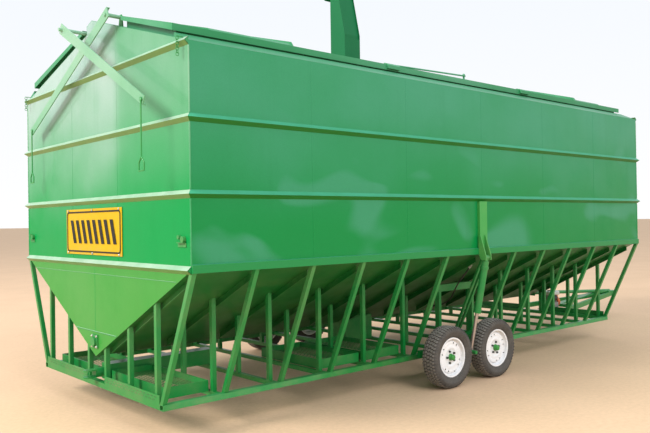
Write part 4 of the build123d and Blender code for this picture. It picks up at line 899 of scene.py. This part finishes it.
for y in ((sign_low.y + sign_high.y) / 2, sign_low.y + 0.05, sign_high.y - 0.05):
    for z in (sign_low.z + 0.014, sign_high.z - 0.014):
        hexagon_bolt(bm, (sign_x, y, z), (-1, 0, 0), across=0.013, height=0.005)
place(finish_mesh(bm, "sign_bolts"), "bin", zinc)

# ---- pressed slots along the kick plates ----
kick_low, kick_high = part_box("kick_plates")
bm = bmesh.new()
for x, out in ((kick_low.x, -1), (kick_high.x, 1)):
    for side in (-1, 1):
        for row, z in enumerate((kick_low.z + 0.024, kick_low.z + 0.048)):
            for k in range(15):
                y = side * (0.235 + 0.062 * k + 0.031 * row)
                if abs(y) + 0.018 > kick_high.y - 0.01:
                    continue
                loop = rounded(y - 0.017, y + 0.017, z - 0.0048, z + 0.0048, 0.0046, 5)
                hole = rounded(y - 0.0135, y + 0.0135, z - 0.0022, z + 0.0022, 0.002, 5)
                rings = []
                for lift, points in ((0.0, loop), (0.0016, loop), (0.0016, hole), (0.0002, hole)):
                    rings.append(ring_of(bm, [(x + out * lift, py, pz) for py, pz in points]))
                for first, second in zip(rings, rings[1:]):
                    bridge(bm, first, second)
                bm.faces.new(rings[-1])
                bm.faces.new(rings[0])
place(finish_mesh(bm, "kick_plate_slots"), "bin", lattice_paint)

# ---- flange and bearing bolts ----
riser_low, riser_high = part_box("riser_casing")
riser_x = (riser_low.x + riser_high.x) / 2
bm = bmesh.new()
for side in (-1, 1):
    for y in (-0.09, -0.03, 0.03, 0.09):
        hexagon_bolt(bm, (riser_x + side * 0.142, y, ridge_z + 0.014), (0, 0, 1), across=0.016, height=0.008)
screw_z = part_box("trough_screw_rear")[0].z + 0.09
for y in (-0.048, 0.048):
    for z in (-0.048, 0.048):
        hexagon_bolt(bm, (rear - 0.012, y, screw_z + z), (-1, 0, 0), across=0.019, height=0.009)
place(finish_mesh(bm, "flange_bolts"), "bin", zinc)

# ---- engine and gearbox ----
motor_low, motor_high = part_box("engine")
gear_z = motor_high.z - 0.07
bm = bmesh.new()
soft_box(bm, (front + 0.0005, -0.066, gear_z - 0.058), (front + 0.066, 0.066, gear_z + 0.064), 0.008)
bearing_cover = [
    (0.064, 0.058), (0.068, 0.058), (0.072, 0.055), (0.074, 0.044), (0.086, 0.04),
    (0.088, 0.037), (0.088, 0.026),
]
lathe(bm, bearing_cover, (front, 0, gear_z), axis="X", segments=48)
for y in (-0.056, 0.056):
    for z in (-0.048, 0.054):
        hexagon_bolt(bm, (front + 0.066, y, gear_z + z), (1, 0, 0), across=0.013, height=0.007)
for y in (-0.044, -0.022, 0.022, 0.044):
    soft_box(bm, (front + 0.008, y - 0.003, gear_z + 0.063), (front + 0.058, y + 0.003, gear_z + 0.069), 0.0015)
place(finish_mesh(bm, "gearbox"), "bin", frame_paint)

deck = skid_top + 0.012
mid_y = -0.24
crank = (front, mid_y, deck + 0.106)
bm = bmesh.new()
soft_box(bm, (front + 0.014, -0.36, deck), (front + 0.33, -0.1, deck + 0.008), 0.002)
for x in (front + 0.04, front + 0.3):
    for y in (-0.335, -0.125):
        hexagon_bolt(bm, (x, y, deck + 0.008), (0, 0, 1), across=0.017, height=0.009)
soft_box(bm, (front + 0.064, -0.334, deck + 0.01), (front + 0.246, -0.146, deck + 0.11), 0.014)
soft_box(bm, (front + 0.05, -0.322, deck + 0.008), (front + 0.262, -0.158, deck + 0.024), 0.004)
for k in range(9):
    z = deck + 0.112 + 0.0118 * k
    grow = 0.008 if k < 7 else 0.0
    fin_low = (front + 0.086 - grow, -0.306 - grow, z)
    fin_high = (front + 0.222 + grow, -0.178 + grow, z + 0.005)
    soft_box(bm, fin_low, fin_high, 0.0012)
soft_box(bm, (front + 0.096, -0.296, deck + 0.108), (front + 0.212, -0.188, deck + 0.22), 0.006)
pulley = [
    (0.02, 0.012), (0.02, 0.03), (0.023, 0.0335), (0.03, 0.027), (0.034, 0.0335),
    (0.04, 0.0335), (0.042, 0.018), (0.066, 0.018),
]
lathe(bm, pulley, crank, axis="X", segments=40)
engine_block = place(finish_mesh(bm, "engine_block"), "bin", engine_grey)
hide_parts("engine")

bm = bmesh.new()
cowl = [
    (0.24, 0.06), (0.246, 0.084), (0.258, 0.088), (0.296, 0.088), (0.31, 0.084),
    (0.318, 0.074), (0.32, 0.062), (0.316, 0.052), (0.316, 0.004),
]
lathe(bm, cowl, crank, axis="X", segments=56)
soft_box(bm, (front + 0.226, -0.318, deck + 0.15), (front + 0.262, -0.166, deck + 0.214), 0.01)
place(finish_mesh(bm, "engine_cowl"), "bin", engine_orange)
bm = bmesh.new()
for k in range(12):
    angle = 2 * math.pi * k / 12
    c = Vector(crank) + Vector((0.3165, 0.042 * math.cos(angle), 0.042 * math.sin(angle)))
    soft_box(bm, (c.x - 0.001, c.y - 0.005, c.z - 0.005), (c.x + 0.0018, c.y + 0.005, c.z + 0.005), 0.0008)
starter_hub = [(0.316, 0.02), (0.32, 0.02), (0.3215, 0.017), (0.3215, 0.008)]
lathe(bm, starter_hub, crank, axis="X", segments=32)
silencer = [(-0.046, 0.03), (-0.046, 0.034), (-0.04, 0.038), (0.036, 0.038), (0.042, 0.034), (0.042, 0.012)]
lathe(bm, silencer, (front + 0.15, -0.318, deck + 0.176), axis="X", segments=36)
air_filter = [(0.0, 0.03), (0.004, 0.032), (0.02, 0.032), (0.024, 0.029), (0.024, 0.006)]
lathe(bm, air_filter, (front + 0.15, -0.172, deck + 0.176), axis="Y", segments=36)
fuel_cap = [(0.0, 0.024), (0.01, 0.024), (0.012, 0.021), (0.016, 0.021), (0.0165, 0.004)]
lathe(bm, fuel_cap, (front + 0.12, mid_y, deck + 0.282), axis="Z", segments=30)
place(finish_mesh(bm, "engine_fittings"), "bin", black_plastic)
bm = bmesh.new()
tank = bmesh.ops.create_cube(bm, size=1.0)["verts"]
bmesh.ops.scale(bm, vec=(0.214, 0.206, 0.064), verts=tank)
bmesh.ops.translate(bm, vec=(front + 0.16, -0.245, deck + 0.252), verts=tank)
bmesh.ops.bevel(bm, geom=list(bm.edges), offset=0.024, segments=5, affect="EDGES", profile=0.5)
place(finish_mesh(bm, "engine_tank", 50.0), "bin", tank_plastic)

# ---- expanded mesh of the platforms, and the caps of the open rib ends ----
def separate_boxes(node):
    """Lowest and highest corners of each separate solid of a node."""
    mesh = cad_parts[node].data
    parent = {}

    def root(key):
        while parent[key] != key:
            parent[key] = parent[parent[key]]
            key = parent[key]
        return key

    keys = [tuple(round(c, 5) for c in v.co) for v in mesh.vertices]
    for key in keys:
        parent.setdefault(key, key)
    for edge in mesh.edges:
        a, b = (root(keys[i]) for i in edge.vertices)
        parent[a] = b
    groups = {}
    for key in parent:
        groups.setdefault(root(key), []).append(key)
    boxes = []
    for points in groups.values():
        low = Vector([min(p[i] for p in points) for i in range(3)])
        high = Vector([max(p[i] for p in points) for i in range(3)])
        boxes.append((low, high))
    return sorted(boxes, key=lambda b: tuple(b[0]))


bm = bmesh.new()
cell = 0.062
gap = 0.026
for low, high in separate_boxes("mesh_platforms"):
    if high.x - low.x < 0.2 or high.y - low.y < 0.2:
        continue
    rows = int((high.y - low.y) / gap)
    columns = int((high.x - low.x) / (cell / 2))
    pitch_x = (high.x - low.x) / columns
    pitch_y = (high.y - low.y) / rows
    for r in range(rows):
        base = low.y + (r + 0.5) * pitch_y
        last = None
        for c in range(columns + 1):
            wave = (0.5 if (c + r) % 2 else -0.5) * (pitch_y - 0.0035)
            x = low.x + c * pitch_x
            y = base + wave
            tip = 0.0011 if (c + r) % 2 else -0.0011
            ring = ring_of(
                bm,
                [
                    (x, y - 0.0018, low.z + 0.0004),
                    (x, y + 0.0018, low.z + 0.0004 + abs(tip)),
                    (x, y + 0.0018, high.z - 0.0002),
                    (x, y - 0.0018, high.z - 0.0002 - abs(tip)),
                ],
            )
            if last:
                bridge(bm, last, ring)
            else:
                bm.faces.new(ring)
            last = ring
        bm.faces.new(last)
lattice = place(finish_mesh(bm, "platform_lattice"), "bin", lattice_paint)
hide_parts("mesh_platforms")

rib_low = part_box("wall_ribs")[0]
rib_half = floor_z - rib_low.z
rib_proud = rear - rib_low.x
bm = bmesh.new()
for level in (floor_z, eave_z):
    for x, out in ((rear, -1), (front, 1)):
        for side in (-1, 1):
            corners = [(x, level + rib_half), (x + out * rib_proud, level), (x, level - rib_half)]
            inside = ring_of(bm, [(px, side * (half - 0.002), pz) for px, pz in corners])
            outside = ring_of(bm, [(px, side * half, pz) for px, pz in corners])
            bridge(bm, inside, outside)
            bm.faces.new(inside)
            bm.faces.new(outside)
place(finish_mesh(bm, "rib_end_caps"), "bin", rib_paint)

# ---- carried-over nodes ----
finishes = {
    "side_wall_near": side_paint,
    "side_wall_far": side_paint,
    "end_wall_rear": end_paint,
    "end_wall_front": end_paint,
    "wall_ribs": rib_paint,
    "bottom_rails": rib_paint,
    "hopper_slope_near": hopper_paint,
    "hopper_slope_far": hopper_paint,
    "hopper_end_plates": vee_paint,
    "hopper_stiffeners": hopper_paint,
    "roof_deck": roof_paint,
    "hatch_coamings": roof_paint,
    "near_lid": lid_paint,
    "far_lid": lid_paint,
    "near_lid_shaft": arm_paint,
    "far_lid_shaft": arm_paint,
    "skid_rails": skid_paint,
    "sign_plate": yellow,
    "side_posts": lime_paint,
    "lift_rod_near": rod_steel,
    "lift_rod_far": rod_steel,
    "riser_casing": riser_paint,
    "discharge_head": riser_paint,
    "trough_screw_rear": auger_steel,
    "trough_screw_front": auger_steel,
    "riser_screw": auger_steel,
    "tow_clevis": steel,
    "engine": engine_grey,
}
for name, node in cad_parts.items():
    node.data.materials.clear()
    node.data.materials.append(finishes.get(name, frame_paint))

# ---- floor, light and world ----
bm = bmesh.new()
bmesh.ops.create_circle(bm, cap_ends=True, segments=128, radius=620.0)
floor = finish_mesh(bm, "floor")
floor.data.materials.append(floor_finish())


def softbox(name, where, size, power, colour):
    light = bpy.data.lights.new(name, "AREA")
    light.shape = "DISK"
    light.size = size
    light.energy = power
    light.color = colour
    lamp = bpy.data.objects.new(name, light)
    bpy.context.scene.collection.objects.link(lamp)
    lamp.location = where
    lamp.rotation_mode = "QUATERNION"
    lamp.rotation_quaternion = (Vector((0, 0, 1.5)) - Vector(where)).to_track_quat("-Z", "Y")
    return lamp


softbox("key", Vector((-0.83, 0.12, 0.55)).normalized() * 34.0, 12.0, 9500.0, (1.0, 0.97, 0.92))
softbox("fill", Vector((-0.2, -0.8, 0.6)).normalized() * 30.0, 16.0, 3600.0, (0.95, 0.98, 1.0))

world = bpy.data.worlds.new("studio")
bpy.context.scene.world = world
world.use_nodes = True
tree = world.node_tree
tree.nodes.clear()
world_out = tree.nodes.new("ShaderNodeOutputWorld")
sky = tree.nodes.new("ShaderNodeBackground")
where = tree.nodes.new("ShaderNodeTexCoord")
parts = tree.nodes.new("ShaderNodeSeparateXYZ")
ramp = tree.nodes.new("ShaderNodeValToRGB")
ramp.color_ramp.elements[0].position = 0.0
ramp.color_ramp.elements[0].color = (0.97, 0.97, 0.975, 1.0)
ramp.color_ramp.elements[1].position = 0.6
ramp.color_ramp.elements[1].color = (0.8, 0.87, 0.95, 1.0)
tree.links.new(where.outputs["Generated"], parts.inputs[0])
tree.links.new(parts.outputs["Z"], ramp.inputs[0])
tree.links.new(ramp.outputs["Color"], sky.inputs["Color"])
sky.inputs["Strength"].default_value = 1.04
tree.links.new(sky.outputs[0], world_out.inputs["Surface"])

bpy.context.scene.view_settings.view_transform = "Standard"
bpy.context.scene.view_settings.look = "None"
